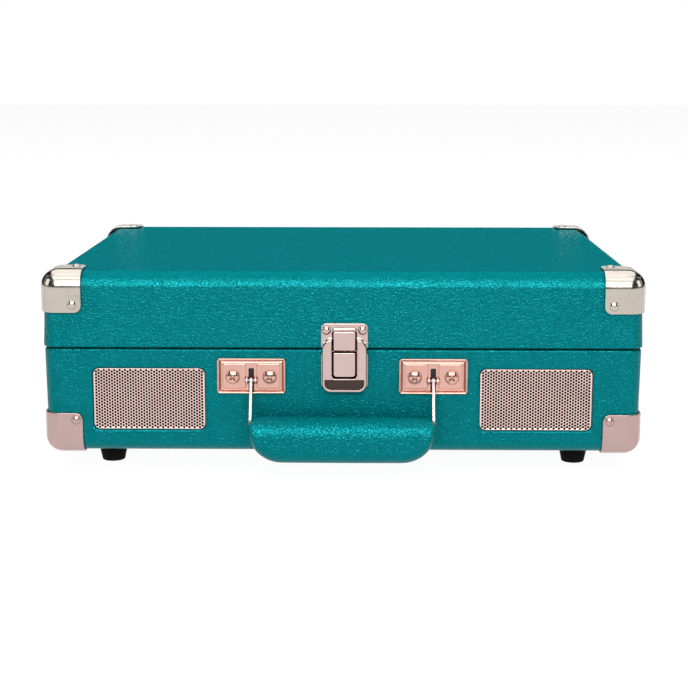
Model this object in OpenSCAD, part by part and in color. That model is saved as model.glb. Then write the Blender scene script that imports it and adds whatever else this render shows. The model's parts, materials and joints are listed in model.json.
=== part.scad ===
// Suitcase record player: a wooden case in leatherette with a hinged lid, a carrying handle,
// a toggle latch, and a belt-driven turntable with built-in stereo speakers.
// The origin is on the standing surface under the middle of the whole object.
// +X is to the right of someone facing the latch, +Y to the rear and +Z up.

/* [Case] */
// Width of the lid over its side faces
case_w = 352; // [340:1:380]
// Depth of the lid from front face to rear face
case_d = 266; // [258:1:290]
// Height of the lid's top above the standing surface
case_h = 117.3; // [115:0.1:125]
// Height of the joint line between base and lid
seam_z = 72.2; // [71:0.1:74]
// Gap between the two rims at the joint line
seam_gap = 0.9; // [0.6:0.1:1.4]
// Thickness of the side, front and rear walls
wall = 6; // [5:0.5:7]
// Radius of the upright edges
edge_r = 7; // [5:0.5:9]
// Radius of the top and bottom edges
roll_r = 9; // [6:0.5:10]
// Height of the rubber feet
foot_h = 9.6; // [8:0.2:12]

/* [Metal fittings] */
// Length of a metal corner along each edge
corner_leg = 22.9; // [20:0.1:30]
// Thickness of the metal corners
corner_t = 1.3; // [0.8:0.1:1.6]
// Distance of a corner rivet from the outer faces
rivet_inset = 18.4; // [15:0.1:21]
// Distance of each handle bracket from the middle
bracket_x = 53.3; // [48:0.1:60]
// Width of a handle bracket
bracket_w = 40.5; // [34:0.5:42]
// Height of a handle bracket
bracket_h = 21.3; // [18:0.1:22]
// Distance of each rear hinge from the middle
hinge_x = 105; // [90:1:115]

/* [Speakers] */
// Distance of each speaker from the middle
speaker_x = 113.8; // [110:0.1:118]
// Width of a speaker grille
grille_w = 66.4; // [60:0.1:70]
// Height of a speaker grille
grille_h = 37.2; // [32:0.1:39]
// Height of a speaker's middle above the standing surface
speaker_z = 41.8; // [41:0.1:42]

/* [Turntable] */
// Distance of the spindle left of the middle
spindle_left = 45; // [40:1:50]
// Radius of the platter
platter_r = 97; // [90:1:100]
// Radius of the spindle where a record fits it
spindle_r = 3.58; // [3.5:0.01:3.62]
// Radius of the ring that the belt runs on
drive_ring_r = 58; // [50:1:60]
// Radius of the motor pulley
pulley_r = 3.85; // [3.5:0.05:4.5]
// Distance from the spindle to the motor shaft
belt_span = 80; // [78:1:82]

/* [Hidden] */
$fn = 64;
teal = "#008085";
silver = "#c8c0b6";
rose = "#d6b5ac";
dark = "#1c1c1e";

base_w = case_w - 1;
base_d = case_d - 1;
base_top = seam_z - seam_gap / 2;
lid_bottom = seam_z + seam_gap / 2;
front_y = -base_d / 2;
lid_front_y = -case_d / 2;
inner_w = base_w - 2 * wall;
inner_d = base_d - 2 * wall;
floor_t = 4;
floor_top = foot_h + floor_t;
lid_top_t = 4.5;
lining_t = 1;
rivet_r = 2.8;
rivet_dome = 1.3;
rivet_shank_r = 1.2;

deck_top = 66;
deck_t = 4;
deck_under = deck_top - deck_t;
batten_w = 8;
deck_screw_y = [-90, 0, 70];

grip_h = 25.1;
grip_low = 7.8;
grip_d = 19.8;
grip_back = 135.2;
strap_t = 1.8;
handle_y = -135.25;
handle_z = 53.8;
handle_pin_r = 0.9;

hinge_off = 2.5;
knuckle_r = 2.2;
hinge_pin_r = 1.2;
hinge_y = case_d / 2 + hinge_off;
leaf_w = 44;
leaf_t = 1.2;
run = 0.05;

// The grip stands furthest forward and the hinge barrels furthest back.
y_mid = (grip_back + grip_d - hinge_y - knuckle_r) / 2;

latch_x = 1.3;
latch_y = -136.3;
latch_z = 76.5;
latch_pin_r = 0.75;
catch_t = 0.8;

spindle_y = 6;
motor_x = belt_span - spindle_left;
belt_z = 68.6;
belt_w = 3;
belt_t = 0.7;
belt_gap = 0.3;
platter_top = 76;
mat_top = 77.5;

arm_x = 132;
arm_y = 97;
arm_z = 93;
arm_rest_y = -25;
lift_r = 35;
lift_turn = 24;
cue_x = 153;
cue_y = 80;
cue_z = 77;
clip_x = 139.5;
clip_z = 98.2;

knob_x = -143;
knob_y = -100;
selector_x = 98;
selector_y = -106;
switch_x = 64;
switch_y = -110;
adapter_x = -146;
adapter_y = 104;

panel_x = 60;
panel_z = 40;
rca_x = [20, 38];
dc_x = 60;
aux_x = 80;
phones_x = 98;
plug_r = 1.8;

foot_x = 139.1;
foot_y = 110;

// ---- helpers ----

// Moves a piece from the case's own middle to the object's frame.
module at_case() {
    translate([0, y_mid, 0]) children();
}

// A centred rectangle with round corners.
module round_rect(w, d, r) {
    square([w - 2 * r, d], center = true);
    square([w, d - 2 * r], center = true);
    for (sx = [-1, 1], sy = [-1, 1])
        translate([sx * (w / 2 - r), sy * (d / 2 - r)]) circle(r);
}

// A rectangle that stands on the X axis, with one radius at its foot and one at its top.
module edge_profile(w, h, low_r, high_r) {
    translate([-w / 2, low_r]) square([w, h - low_r - high_r]);
    translate([-w / 2 + low_r, 0]) square([w - 2 * low_r, h - high_r]);
    translate([-w / 2 + high_r, low_r]) square([w - 2 * high_r, h - low_r]);
    for (sx = [-1, 1]) {
        if (low_r > 0) translate([sx * (w / 2 - low_r), low_r]) circle(low_r);
        if (high_r > 0) translate([sx * (w / 2 - high_r), h - high_r]) circle(high_r);
    }
}

// A block from z0 to z1 with round upright edges and round bottom or top edges.
module case_block(w, d, z0, z1, side_r, low_r, high_r) {
    intersection() {
        translate([0, 0, z0]) linear_extrude(z1 - z0) round_rect(w, d, side_r);
        translate([0, d / 2, z0]) rotate([90, 0, 0])
            linear_extrude(d) edge_profile(w, z1 - z0, low_r, high_r);
        translate([-w / 2, 0, z0]) rotate([90, 0, 90])
            linear_extrude(w) edge_profile(d, z1 - z0, low_r, high_r);
    }
}

// A domed rivet or pin head on the XY plane with its shank below.
module rivet(head_r = rivet_r, dome = rivet_dome, shank_r = rivet_shank_r, shank = 4) {
    ball_r = (head_r * head_r + dome * dome) / (2 * dome);
    intersection() {
        translate([0, 0, dome - ball_r]) sphere(ball_r);
        cylinder(r = head_r + 1, h = dome + 1);
    }
    translate([0, 0, -shank]) cylinder(r = shank_r, h = shank);
}

// A pan-head screw with a cross recess.
module screw(head_r, head_h, shank_r, shank) {
    difference() {
        rivet(head_r, head_h, shank_r, shank);
        for (turn = [0, 90])
            rotate(turn) translate([0, 0, head_h]) cube([head_r, head_r / 4, head_h], center = true);
    }
}

// Places children on the three outer faces of each of the four corners.
module corner_spots(w, d, side_z, flat_z, flat_turn) {
    for (sx = [-1, 1], sy = [-1, 1]) {
        translate([sx * (w / 2 - rivet_inset), sy * d / 2, side_z]) rotate([-90 * sy, 0, 0]) children();
        translate([sx * w / 2, sy * (d / 2 - rivet_inset), side_z]) rotate([0, 90 * sx, 0]) children();
        translate([sx * (w / 2 - rivet_inset), sy * (d / 2 - rivet_inset), flat_z])
            rotate([flat_turn, 0, 0]) children();
    }
}

module base_corner_spots() {
    corner_spots(base_w, base_d, foot_h + 19.9, foot_h, 180) children();
}

module lid_corner_spots() {
    corner_spots(case_w, case_d, case_h - 19.2, case_h, 0) children();
}

// Keeps only what lies in the four corners of the case.
module corner_region(w, d, z0, z1) {
    reach = corner_leg + corner_t;
    for (sx = [-1, 1], sy = [-1, 1])
        translate([sx * (w / 2 + corner_t - reach / 2), sy * (d / 2 + corner_t - reach / 2), (z0 + z1) / 2])
            cube([reach, reach, z1 - z0], center = true);
}

module shank_hole(r = rivet_shank_r, depth = 4) {
    translate([0, 0, -depth]) cylinder(r = r, h = depth + 3);
}

// Screw places, each with +Z pointing out of the surface that the head lies on.
module foot_spots() {
    for (sx = [-1, 1], sy = [-1, 1]) translate([sx * foot_x, sy * foot_y, 0]) children();
}

module bracket_screw_spots() {
    for (sx = [-1, 1], side = [-1, 1])
        translate([sx * bracket_x + side * 10.85, front_y, 55.7]) rotate([90, 0, 0]) children();
}

module hinge_spots(y, z) {
    for (sx = [-1, 1], off = [-14, 0, 14])
        translate([sx * hinge_x + off, y, z]) rotate([-90, 0, 0]) children();
}

module catch_rivet_spots() {
    for (sx = [-1, 1]) translate([latch_x + sx * 10.6, lid_front_y, 83.5]) rotate([90, 0, 0]) children();
}

module deck_screw_spots() {
    for (sx = [-1, 1], y = deck_screw_y)
        translate([sx * (inner_w / 2 - batten_w / 2), y, deck_top]) children();
}

module motor_screw_spots() {
    for (sy = [-1, 1]) translate([motor_x, spindle_y + sy * 20, deck_top]) children();
}

module panel_screw_spots() {
    for (sx = [-1, 1]) translate([panel_x + sx * 59, inner_d / 2 - 1.6, panel_z])
        rotate([90, 0, 0]) children();
}

// ---- base ----

// The lower half of the wooden case: four walls, a floor, side battens and board posts.
module base_case() color(teal) at_case() {
    difference() {
        union() {
            difference() {
                case_block(base_w, base_d, foot_h, base_top, edge_r, roll_r, 0);
                translate([0, 0, floor_top]) linear_extrude(base_top) round_rect(inner_w, inner_d, 3);
            }
            for (sx = [-1, 1])
                translate([sx * (inner_w - batten_w) / 2, 0, deck_under - 5])
                    cube([batten_w + 0.2, inner_d - 10, 10], center = true);
            for (x = [76, 134], y = [-4, 44]) translate([x, y, floor_top - 0.5]) cylinder(r = 3, h = 8);
        }
        for (sx = [-1, 1]) {
            translate([sx * speaker_x, front_y + 0.6, speaker_z]) rotate([90, 0, 0])
                linear_extrude(2.4, center = true) round_rect(grille_w + 0.4, grille_h + 0.4, 3.9);
            translate([sx * speaker_x, front_y + wall / 2, speaker_z]) rotate([90, 0, 0])
                linear_extrude(wall + 1, center = true) round_rect(grille_w - 5, grille_h - 5, 2);
        }
        translate([panel_x, base_d / 2 - wall / 2, panel_z]) cube([112, wall + 1, 22], center = true);
        base_corner_spots() shank_hole();
        foot_spots() translate([0, 0, foot_h - 1]) cylinder(r = 1.6, h = floor_t - 1);
        bracket_screw_spots() shank_hole(1.5, 4.5);
        hinge_spots(base_d / 2, 60) shank_hole(1.1, 4);
        deck_screw_spots() shank_hole(1.5, 9);
        panel_screw_spots() shank_hole(1, 4.6);
    }
}

// The board that closes the base and carries the turntable, with the adapter's post.
module motor_board() color(dark) at_case() {
    difference() {
        union() {
            translate([0, 0, deck_under]) linear_extrude(deck_t)
                round_rect(inner_w - 0.4, inner_d - 0.4, 3);
            translate([adapter_x, adapter_y, deck_top - 1]) cylinder(r = 3.5, h = 9);
        }
        translate([-spindle_left, spindle_y, deck_under - 1]) cylinder(r = 6, h = 10);
        translate([motor_x, spindle_y, deck_under - 1]) cylinder(r = 7, h = 10);
        translate([arm_x, arm_y, deck_under - 1]) cylinder(r = 5, h = 10);
        translate([knob_x, knob_y, deck_under - 1]) cylinder(r = 3.2, h = 10);
        translate([selector_x, selector_y, deck_under - 1]) cylinder(r = 2.8, h = 10);
        translate([switch_x, switch_y, deck_top - 2]) cube([14, 4.6, 10], center = true);
        deck_screw_spots() shank_hole(1.5, 9);
        motor_screw_spots() shank_hole(1.2, 9);
    }
}

module base_corners() color(rose) at_case() {
    difference() {
        intersection() {
            case_block(base_w + 2 * corner_t, base_d + 2 * corner_t, foot_h - corner_t, base_top,
                edge_r + corner_t, roll_r + corner_t, 0);
            corner_region(base_w, base_d, foot_h - corner_t, foot_h + 23.8);
        }
        case_block(base_w + 0.06, base_d + 0.06, foot_h - 0.03, base_top + 1, edge_r, roll_r, 0);
        base_corner_spots() shank_hole();
    }
}

module base_corner_rivets() color(rose) at_case() {
    base_corner_spots() translate([0, 0, corner_t]) rivet();
}

module rubber_feet() color(dark) at_case() {
    foot_spots() difference() {
        cylinder(r1 = 6.9, r2 = 8.8, h = foot_h);
        translate([0, 0, -1]) cylinder(r = 3.2, h = 6);
        translate([0, 0, -1]) cylinder(r = 1.6, h = foot_h + 2);
    }
}

module foot_screws() color("silver") at_case() {
    foot_spots() translate([0, 0, 5]) rotate([180, 0, 0]) screw(3, 1.8, 1.6, foot_h + floor_t - 7);
}

// ---- speakers ----

// A pressed metal grille with a turned edge. Its perforation is finer than the sheet needs here.
module speaker_grille(side) {
    translate([side * speaker_x, front_y + 0.9, speaker_z]) rotate([90, 0, 0])
        linear_extrude(0.9, center = true) round_rect(grille_w, grille_h, 3.7);
}

module speaker_frame(side) {
    translate([side * speaker_x, -inner_d / 2, speaker_z]) rotate([-90, 0, 0]) difference() {
        union() {
            linear_extrude(2) round_rect(72, 39.6, 3);
            cylinder(r1 = 18.5, r2 = 13, h = 13);
        }
        translate([0, 0, -0.1]) cylinder(r1 = 16.6, r2 = 11.4, h = 13.3);
    }
}

module speaker_cone(side) {
    translate([side * speaker_x, -inner_d / 2, speaker_z]) rotate([-90, 0, 0]) difference() {
        translate([0, 0, 0.4]) cylinder(r1 = 16.2, r2 = 6, h = 10);
        translate([0, 0, 0.3]) cylinder(r1 = 15.6, r2 = 5, h = 9);
    }
}

module speaker_grille_left() color("#e8cbc3") at_case() speaker_grille(-1);
module speaker_grille_right() color("#e8cbc3") at_case() speaker_grille(1);
module speaker_frame_left() color("dimgray") at_case() speaker_frame(-1);
module speaker_frame_right() color("dimgray") at_case() speaker_frame(1);
module speaker_cone_left() color("#303030") at_case() speaker_cone(-1);
module speaker_cone_right() color("#303030") at_case() speaker_cone(1);

module speaker_magnets() color("gray") at_case() {
    for (sx = [-1, 1])
        translate([sx * speaker_x, -inner_d / 2 + 13.2, speaker_z]) rotate([-90, 0, 0])
            cylinder(r = 15, h = 11);
}

// ---- handle ----

// A stamped bracket with a raised rim and two bosses that hold the handle's pin.
module handle_bracket(side) {
    translate([side * bracket_x, front_y, 55.85]) rotate([90, 0, 0]) difference() {
        union() {
            linear_extrude(1.1) round_rect(bracket_w, bracket_h, 1.5);
            linear_extrude(2.1) difference() {
                round_rect(bracket_w, bracket_h, 1.5);
                square([bracket_w - 3, bracket_h - 3], center = true);
            }
        }
        translate([-1.6, -9.35, -1]) cube([3.2, 14, 2.2]);
        translate([-1.6, -9.35, 1]) cube([3.2, 14, 3]);
        for (sx = [-1, 1]) translate([sx * 10.85, -0.15, -1]) cylinder(r = 1.5, h = 4);
    }
    for (sx = [-1, 1])
        translate([side * bracket_x + sx * 2.85, handle_y, handle_z]) rotate([0, 90, 0])
            difference() {
                union() {
                    cylinder(r = 2.1, h = 2.5, center = true);
                    translate([0, 1, 0]) cube([4.2, 2, 2.5], center = true);
                }
                cylinder(r = handle_pin_r, h = 4, center = true);
            }
}

module handle_bracket_left() color(rose) at_case() handle_bracket(-1);
module handle_bracket_right() color(rose) at_case() handle_bracket(1);

module bracket_screws() color(rose) at_case() {
    bracket_screw_spots() translate([0, 0, 1.1]) screw(3.95, 1.9, 1.5, 5.5);
}

module latch_pivot() {
    translate([latch_x, latch_y, latch_z]) rotate([0, 90, 0]) children();
}

// The short pins that the handle's straps and the latch lever turn on.
module pivot_pins() color("silver") at_case() {
    for (sx = [-1, 1]) {
        translate([sx * bracket_x, handle_y, handle_z]) rotate([0, 90, 0])
            cylinder(r = handle_pin_r, h = 7.6, center = true);
        translate([sx * 10, 0, 0]) latch_pivot()
            cylinder(r = latch_pin_r, h = 4.6, center = true);
    }
}

// Side view of a handle strap, in the YZ plane.
module strap_profile() {
    difference() {
        union() {
            translate([handle_y, handle_z]) circle(1.95);
            polygon([[handle_y + 1.95, handle_z], [handle_y - 1.95, handle_z], [-147.5, 33],
                [-147.5, 26], [-140, 26], [-140, 33]]);
        }
        translate([handle_y, handle_z]) circle(handle_pin_r + run);
    }
}

// The two flat steel straps that join the grip to its brackets.
module handle_straps() color(rose) at_case() {
    for (sx = [-1, 1])
        translate([sx * bracket_x - strap_t / 2, 0, 0]) rotate([90, 0, 90])
            linear_extrude(strap_t) strap_profile();
}

// The padded grip, with a slot at each end for its strap.
module handle_grip() color(teal) at_case() {
    grip_w = 2 * bracket_x + 2.4;
    difference() {
        intersection() {
            translate([0, -grip_back, grip_low]) rotate([90, 0, 0])
                linear_extrude(grip_d) edge_profile(grip_w, grip_h, 17, 3);
            translate([-grip_w / 2, -grip_back - grip_d / 2, grip_low]) rotate([90, 0, 90])
                linear_extrude(grip_w) edge_profile(grip_d, grip_h, 7, 6);
        }
        for (sx = [-1, 1])
            translate([sx * bracket_x, -143.75, 31]) cube([strap_t, 7.5, 10], center = true);
    }
}

// ---- latch ----

// The plate riveted to the base, with its raised middle and the two ears of the lever's pivot.
module latch_plate() color(rose) at_case() {
    translate([latch_x, front_y, 59.6]) rotate([90, 0, 0]) linear_extrude(0.8) round_rect(27.5, 23.4, 4);
    translate([latch_x - 6.4, front_y - 4.6, 56.4]) cube([12.8, 4.6, 14.3]);
    for (sx = [-1, 1]) translate([sx * 9.8, 0, 0]) difference() {
        union() {
            translate([latch_x - 0.6, latch_y - 0.7, 69.9]) cube([1.2, 2.9, latch_z - 69.9]);
            translate([latch_x - 0.6, latch_y - 0.7, 69.9]) cube([1.2, front_y - latch_y + 0.7, 1.4]);
            latch_pivot() cylinder(r = 1.3, h = 1.2, center = true);
        }
        latch_pivot() cylinder(r = latch_pin_r, h = 3, center = true);
    }
}

// The lever: a frame round the catch tongue, closed at its foot, that swings out and up.
module latch_lever() color(rose) at_case() {
    difference() {
        translate([latch_x, latch_y + 2.2, 0]) rotate([90, 0, 0]) linear_extrude(4.4) difference() {
            translate([0, 47.3]) edge_profile(26, 31.4, 5, 6);
            translate([-7.3, 55.4]) square([14.6, 40]);
        }
        translate([-15, latch_y + 2.3, 45]) rotate([30, 0, 0]) cube([30, 4, 8]);
        difference() {
            translate([-15, latch_y, latch_z]) cube([30, 2.3, 2.3]);
            latch_pivot() cylinder(r = 2.2, h = 31, center = true);
        }
        for (sx = [-1, 1]) {
            translate([latch_x + sx * 9.8, latch_y + 2.2 - 1.75, 74.5]) cube([1.8, 3.5, 10], center = true);
            translate([sx * 9.95, 0, 0]) latch_pivot()
                cylinder(r = latch_pin_r + run, h = 5, center = true);
        }
    }
}

// The catch plate on the lid with the tongue that the lever frames.
module latch_catch() color(rose) at_case() {
    difference() {
        union() {
            translate([latch_x, lid_front_y, lid_bottom + 0.3]) rotate([90, 0, 0]) linear_extrude(catch_t)
                edge_profile(27.2, 14.6, 0, 3);
            translate([latch_x - 6.4, lid_front_y - 4.1, 73]) cube([12.8, 4.1, 10]);
            translate([latch_x - 6.4, lid_front_y - 4.1, 71.9]) cube([12.8, 1.6, 2]);
        }
        catch_rivet_spots() shank_hole();
    }
}

module catch_rivets() color(rose) at_case() {
    catch_rivet_spots() translate([0, 0, catch_t]) rivet();
}

// ---- rear hinges ----

module knuckle(x, length) {
    translate([x, hinge_y, seam_z]) rotate([0, 90, 0]) cylinder(r = knuckle_r, h = length, center = true);
}

module hinge_bore() {
    for (sx = [-1, 1]) translate([sx * hinge_x, hinge_y, seam_z]) rotate([0, 90, 0])
        cylinder(r = hinge_pin_r + run, h = leaf_w + 2, center = true);
}

module hinge_leaves_base() color("silver") at_case() difference() {
    for (sx = [-1, 1]) {
        translate([sx * hinge_x - leaf_w / 2, base_d / 2, 50]) cube([leaf_w, leaf_t, seam_z - 52.4]);
        for (end = [-1, 1]) {
            translate([sx * hinge_x + end * 15.8 - 6.2, base_d / 2, 60]) cube([12.4, leaf_t, seam_z - 60]);
            knuckle(sx * hinge_x + end * 15.8, 12.4);
        }
    }
    hinge_bore();
    hinge_spots(base_d / 2, 60) shank_hole(1.1, 4);
}

module hinge_leaves_lid() color("silver") at_case() difference() {
    for (sx = [-1, 1]) {
        translate([sx * hinge_x - leaf_w / 2, case_d / 2, seam_z + 2.4]) cube([leaf_w, leaf_t, 20]);
        translate([sx * hinge_x - 9.2, case_d / 2, seam_z]) cube([18.4, leaf_t, 10]);
        knuckle(sx * hinge_x, 18.4);
    }
    hinge_bore();
    hinge_spots(case_d / 2, 86) shank_hole(1.1, 4);
}

module hinge_pins() color("gray") at_case() {
    for (sx = [-1, 1]) translate([sx * hinge_x, hinge_y, seam_z]) rotate([0, 90, 0])
        cylinder(r = hinge_pin_r, h = leaf_w, center = true);
}

module hinge_screws_base() color("silver") at_case() {
    hinge_spots(base_d / 2, 60) translate([0, 0, leaf_t]) screw(2.4, 1, 1.1, leaf_t + 4);
}

module hinge_screws_lid() color("silver") at_case() {
    hinge_spots(case_d / 2, 86) translate([0, 0, leaf_t]) screw(2.4, 1, 1.1, leaf_t + 4);
}

// Screws of the motor board, the motor and the rear panel.
module case_screws() color("silver") at_case() {
    deck_screw_spots() screw(3, 1.2, 1.5, 9);
    motor_screw_spots() screw(2.4, 1, 1.2, 5.6);
    panel_screw_spots() screw(2, 1, 1, 4.6);
}

// ---- drive ----

// The motor can under the deck, with its flange and shaft bearing.
module motor() color("gray") at_case() {
    translate([motor_x, spindle_y, 0]) difference() {
        union() {
            translate([0, 0, 38]) cylinder(r = 16, h = 22);
            translate([0, 0, deck_under - 1.4]) linear_extrude(1.3) round_rect(24, 50, 4);
            translate([0, 0, 60]) cylinder(r = 5, h = 4);
        }
        translate([0, 0, 50]) cylinder(r = 1 + run, h = 20);
        for (sy = [-1, 1]) translate([0, sy * 20, 60]) cylinder(r = 1.2, h = 5);
    }
}

// The motor's shaft and the pulley pressed on it.
module motor_pulley() color("#b08d3e") at_case() translate([motor_x, spindle_y, 0]) {
    translate([0, 0, 50.5]) cylinder(r = 1, h = 22);
    translate([0, 0, 68]) cylinder(r = pulley_r, h = 4.4);
    translate([0, 0, 67.4]) cylinder(r = 5, h = 0.7);
    translate([0, 0, 72.1]) cylinder(r = 5, h = 0.6);
}

// Outline of a loop round the drive ring and the pulley, grown by a distance.
module belt_outline(grow) {
    hull() {
        translate([-spindle_left, spindle_y]) circle(drive_ring_r + grow, $fn = 128);
        translate([motor_x, spindle_y]) circle(pulley_r + grow, $fn = 48);
    }
}

module drive_belt() color("#101010") at_case() translate([0, 0, belt_z]) linear_extrude(belt_w)
    difference() {
        belt_outline(belt_gap + belt_t);
        belt_outline(belt_gap);
    }

// ---- turntable ----

module at_spindle() {
    at_case() translate([-spindle_left, spindle_y, 0]) children();
}

module spindle_bearing() color("#b08d3e") at_spindle() difference() {
    union() {
        translate([0, 0, 51]) cylinder(r = 6, h = 15.4);
        translate([0, 0, deck_top]) cylinder(r = 10, h = 0.8);
    }
    translate([0, 0, 53]) cylinder(r = 3 + run, h = 20);
}

module spindle() color("lightgray") at_spindle() {
    translate([0, 0, 54]) cylinder(r = 3, h = mat_top + 0.3 - 54);
    translate([0, 0, mat_top + 0.1]) cylinder(r = spindle_r, h = 6.5);
    translate([0, 0, mat_top + 6.6]) cylinder(r1 = spindle_r, r2 = 1.6, h = 2.4);
}

module platter() color("#2a2a2c") at_spindle() difference() {
    union() {
        translate([0, 0, 68]) cylinder(r = platter_r, h = platter_top - 68);
    }
    translate([0, 0, 67]) difference() {
        cylinder(r = platter_r - 3, h = 6.4);
        cylinder(r = drive_ring_r, h = 7);
    }
    translate([0, 0, 67]) difference() {
        cylinder(r = drive_ring_r - 3, h = 6.4);
        cylinder(r = 9, h = 7);
    }
    translate([0, 0, 60]) cylinder(r = 3, h = 20);
    for (turn = [0, 180]) rotate(turn) translate([76, 0, 70]) cylinder(r = 9, h = 10);
}

module slip_mat() color("#1a1a1a") at_spindle() translate([0, 0, platter_top]) difference() {
    cylinder(r = platter_r - 3, h = mat_top - platter_top);
    translate([0, 0, -1]) cylinder(r = 3.9, h = 5);
}

// ---- tonearm ----

module at_arm() {
    at_case() translate([arm_x, arm_y, 0]) children();
}

// The foot of the tonearm, with the lift's guide tube and the cue lever's ears.
module tonearm_base() color(dark) at_arm() difference() {
    union() {
        translate([0, 0, deck_top]) cylinder(r = 20, h = 5);
        translate([0, 0, deck_top]) cylinder(r = 9, h = 19.8);
        rotate(-lift_turn) translate([0, -lift_r, deck_top]) cylinder(r = 4.5, h = 17);
        rotate(-lift_turn) translate([-4.5, -lift_r, deck_top]) cube([9, lift_r, 4]);
        translate([10, cue_y - arm_y - 5, deck_top]) cube([18, 10, 4]);
        for (sx = [-1, 1])
            translate([cue_x - arm_x + sx * 4.5 - 1, cue_y - arm_y - 4, deck_top]) cube([2, 8, 14]);
    }
    translate([0, 0, 70]) cylinder(r = 3 + run, h = 20);
    rotate(-lift_turn) translate([0, -lift_r, 67.5]) cylinder(r = 1.5 + run, h = 20);
    translate([cue_x - arm_x, cue_y - arm_y, cue_z]) rotate([0, 90, 0])
        cylinder(r = 1.2 + run, h = 20, center = true);
}

// The fork that turns on the foot and carries the tonearm's tilting pivot.
module tonearm_gimbal() color("silver") at_arm() {
    translate([0, 0, 70.5]) cylinder(r = 3, h = 16);
    translate([0, 0, 86.1]) cylinder(r = 9.4, h = 2);
    for (sx = [-1, 1]) {
        translate([sx * 8.2 - 1.2, -4, 87]) cube([2.4, 8, 6]);
        translate([sx * 8.2, 0, arm_z]) rotate([0, 90, 0]) cylinder(r = 4, h = 2.4, center = true);
        translate([sx * 6, 0, arm_z]) rotate([0, 90, 0]) cylinder(r = 1, h = 3, center = true);
    }
}

// The moulded tonearm: pivot block, tail, tapering arm and head.
module tonearm() color("#202022") at_arm() difference() {
    union() {
        translate([-6.7, -7, 89.6]) cube([13.4, 14, 7.4]);
        translate([-4.5, -190, 89.6]) cube([9, 212, 6.8]);
        translate([-9, -214, 89.4]) cube([18, 28, 6]);
        translate([8, -208, 91]) cube([7, 3, 1.6]);
    }
    for (sx = [-1, 1]) translate([sx * 6, 0, arm_z]) rotate([0, 90, 0])
        cylinder(r = 1 + run, h = 3.4, center = true);
}

module cartridge() color("#b01818") at_arm() {
    translate([-6.5, -211, 82.6]) cube([13, 21, 6.8]);
}

// The stylus holder with its cantilever and tip.
module stylus() color("#d02020") at_arm() {
    translate([-3, -211.5, 81.2]) cube([6, 12, 1.4]);
    translate([-0.6, -206, 80.6]) cube([1.2, 5, 0.7]);
    translate([0, -205, 79.5]) cylinder(r1 = 0.2, r2 = 0.6, h = 1.4);
}

// The cradle that the arm lies on, open towards the platter, with the clip's two ears.
module tonearm_rest() color(dark) at_case() translate([arm_x, arm_rest_y, 0]) {
    translate([0, 0, deck_top]) cylinder(r = 9, h = 3);
    translate([0, 0, deck_top]) cylinder(r = 4, h = 21);
    translate([-5, -5, 86.5]) cube([12, 10, 2.8]);
    translate([5, -5, 86.5]) cube([2, 10, 9]);
    for (sy = [-1, 1]) translate([0, sy * 3.8, 0]) difference() {
        union() {
            translate([5, -1.2, 92]) cube([4, 2.4, 6]);
            translate([clip_x - arm_x, 0, clip_z]) rotate([90, 0, 0])
                cylinder(r = 1.8, h = 2.4, center = true);
        }
        translate([clip_x - arm_x, 0, clip_z]) rotate([90, 0, 0])
            cylinder(r = 0.8 + run, h = 4, center = true);
    }
}

// The clip, stored upright beside the arm, that swings over it for carrying.
module tonearm_clip() color("#303034") at_case() translate([clip_x, arm_rest_y, clip_z]) {
    rotate([90, 0, 0]) cylinder(r = 1.6, h = 4.6, center = true);
    rotate([90, 0, 0]) cylinder(r = 0.8, h = 9.6, center = true);
    translate([-0.8, -2.3, 0]) cube([1.6, 4.6, 11.4]);
}

module cue_lever() color("#303034") at_case() translate([cue_x, cue_y, cue_z]) {
    rotate([0, 90, 0]) cylinder(r = 2.6, h = 6.4, center = true);
    rotate([0, 90, 0]) cylinder(r = 1.2, h = 10.6, center = true);
    translate([-2, -22, -1.2]) cube([4, 22, 2.4]);
    translate([-3.5, -27, -1.2]) cube([7, 7, 3]);
}

// The curved bar under the arm and the rod that lifts it.
module lift_bar() color("silver") at_arm() {
    rotate(-lift_turn) translate([0, -lift_r, 68.5]) cylinder(r = 1.5, h = 19.5);
    translate([0, 0, 87]) rotate(-58 - 90) rotate_extrude(angle = 68) translate([lift_r - 2, 0])
        square([4, 2.2]);
}

// ---- controls ----

module at_knob() {
    at_case() translate([knob_x, knob_y, 0]) children();
}

module volume_knob() color("#26262a") at_knob() {
    translate([0, 0, 66.4]) cylinder(r = 12, h = 2);
    translate([0, 0, 68]) cylinder(r1 = 10.5, r2 = 9.8, h = 7.4);
    translate([0, 0, 57]) cylinder(r = 3, h = 10);
    translate([-0.6, 4, 75]) cube([1.2, 5.5, 0.8]);
}

// The potentiometer under the deck that the knob's shaft turns.
module volume_control() color("gray") at_knob() difference() {
    union() {
        translate([-8, -8, 52]) cube([16, 16, 8]);
        translate([0, 0, 59]) cylinder(r = 7, h = 2.9);
        for (x = [-5, 0, 5]) translate([x - 0.6, -13, 53]) cube([1.2, 6, 0.8]);
    }
    translate([0, 0, 56.5]) cylinder(r = 3 + 0.1, h = 10);
}

module speed_selector() color("#26262a") at_case() translate([selector_x, selector_y, 0]) {
    translate([0, 0, 66.4]) cylinder(r = 9, h = 4);
    translate([-2.2, -8.4, 70]) cube([4.4, 16.8, 4.6]);
    translate([0, 0, 58]) cylinder(r = 2.6, h = 9);
}

module autostop_switch() color("#c0c0c4") at_case() translate([switch_x - 3, switch_y, 0]) {
    translate([-3, -2, 60.5]) cube([6, 4, 8.5]);
    translate([-5, -4, 60]) cube([10, 8, 1.6]);
}

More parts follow.
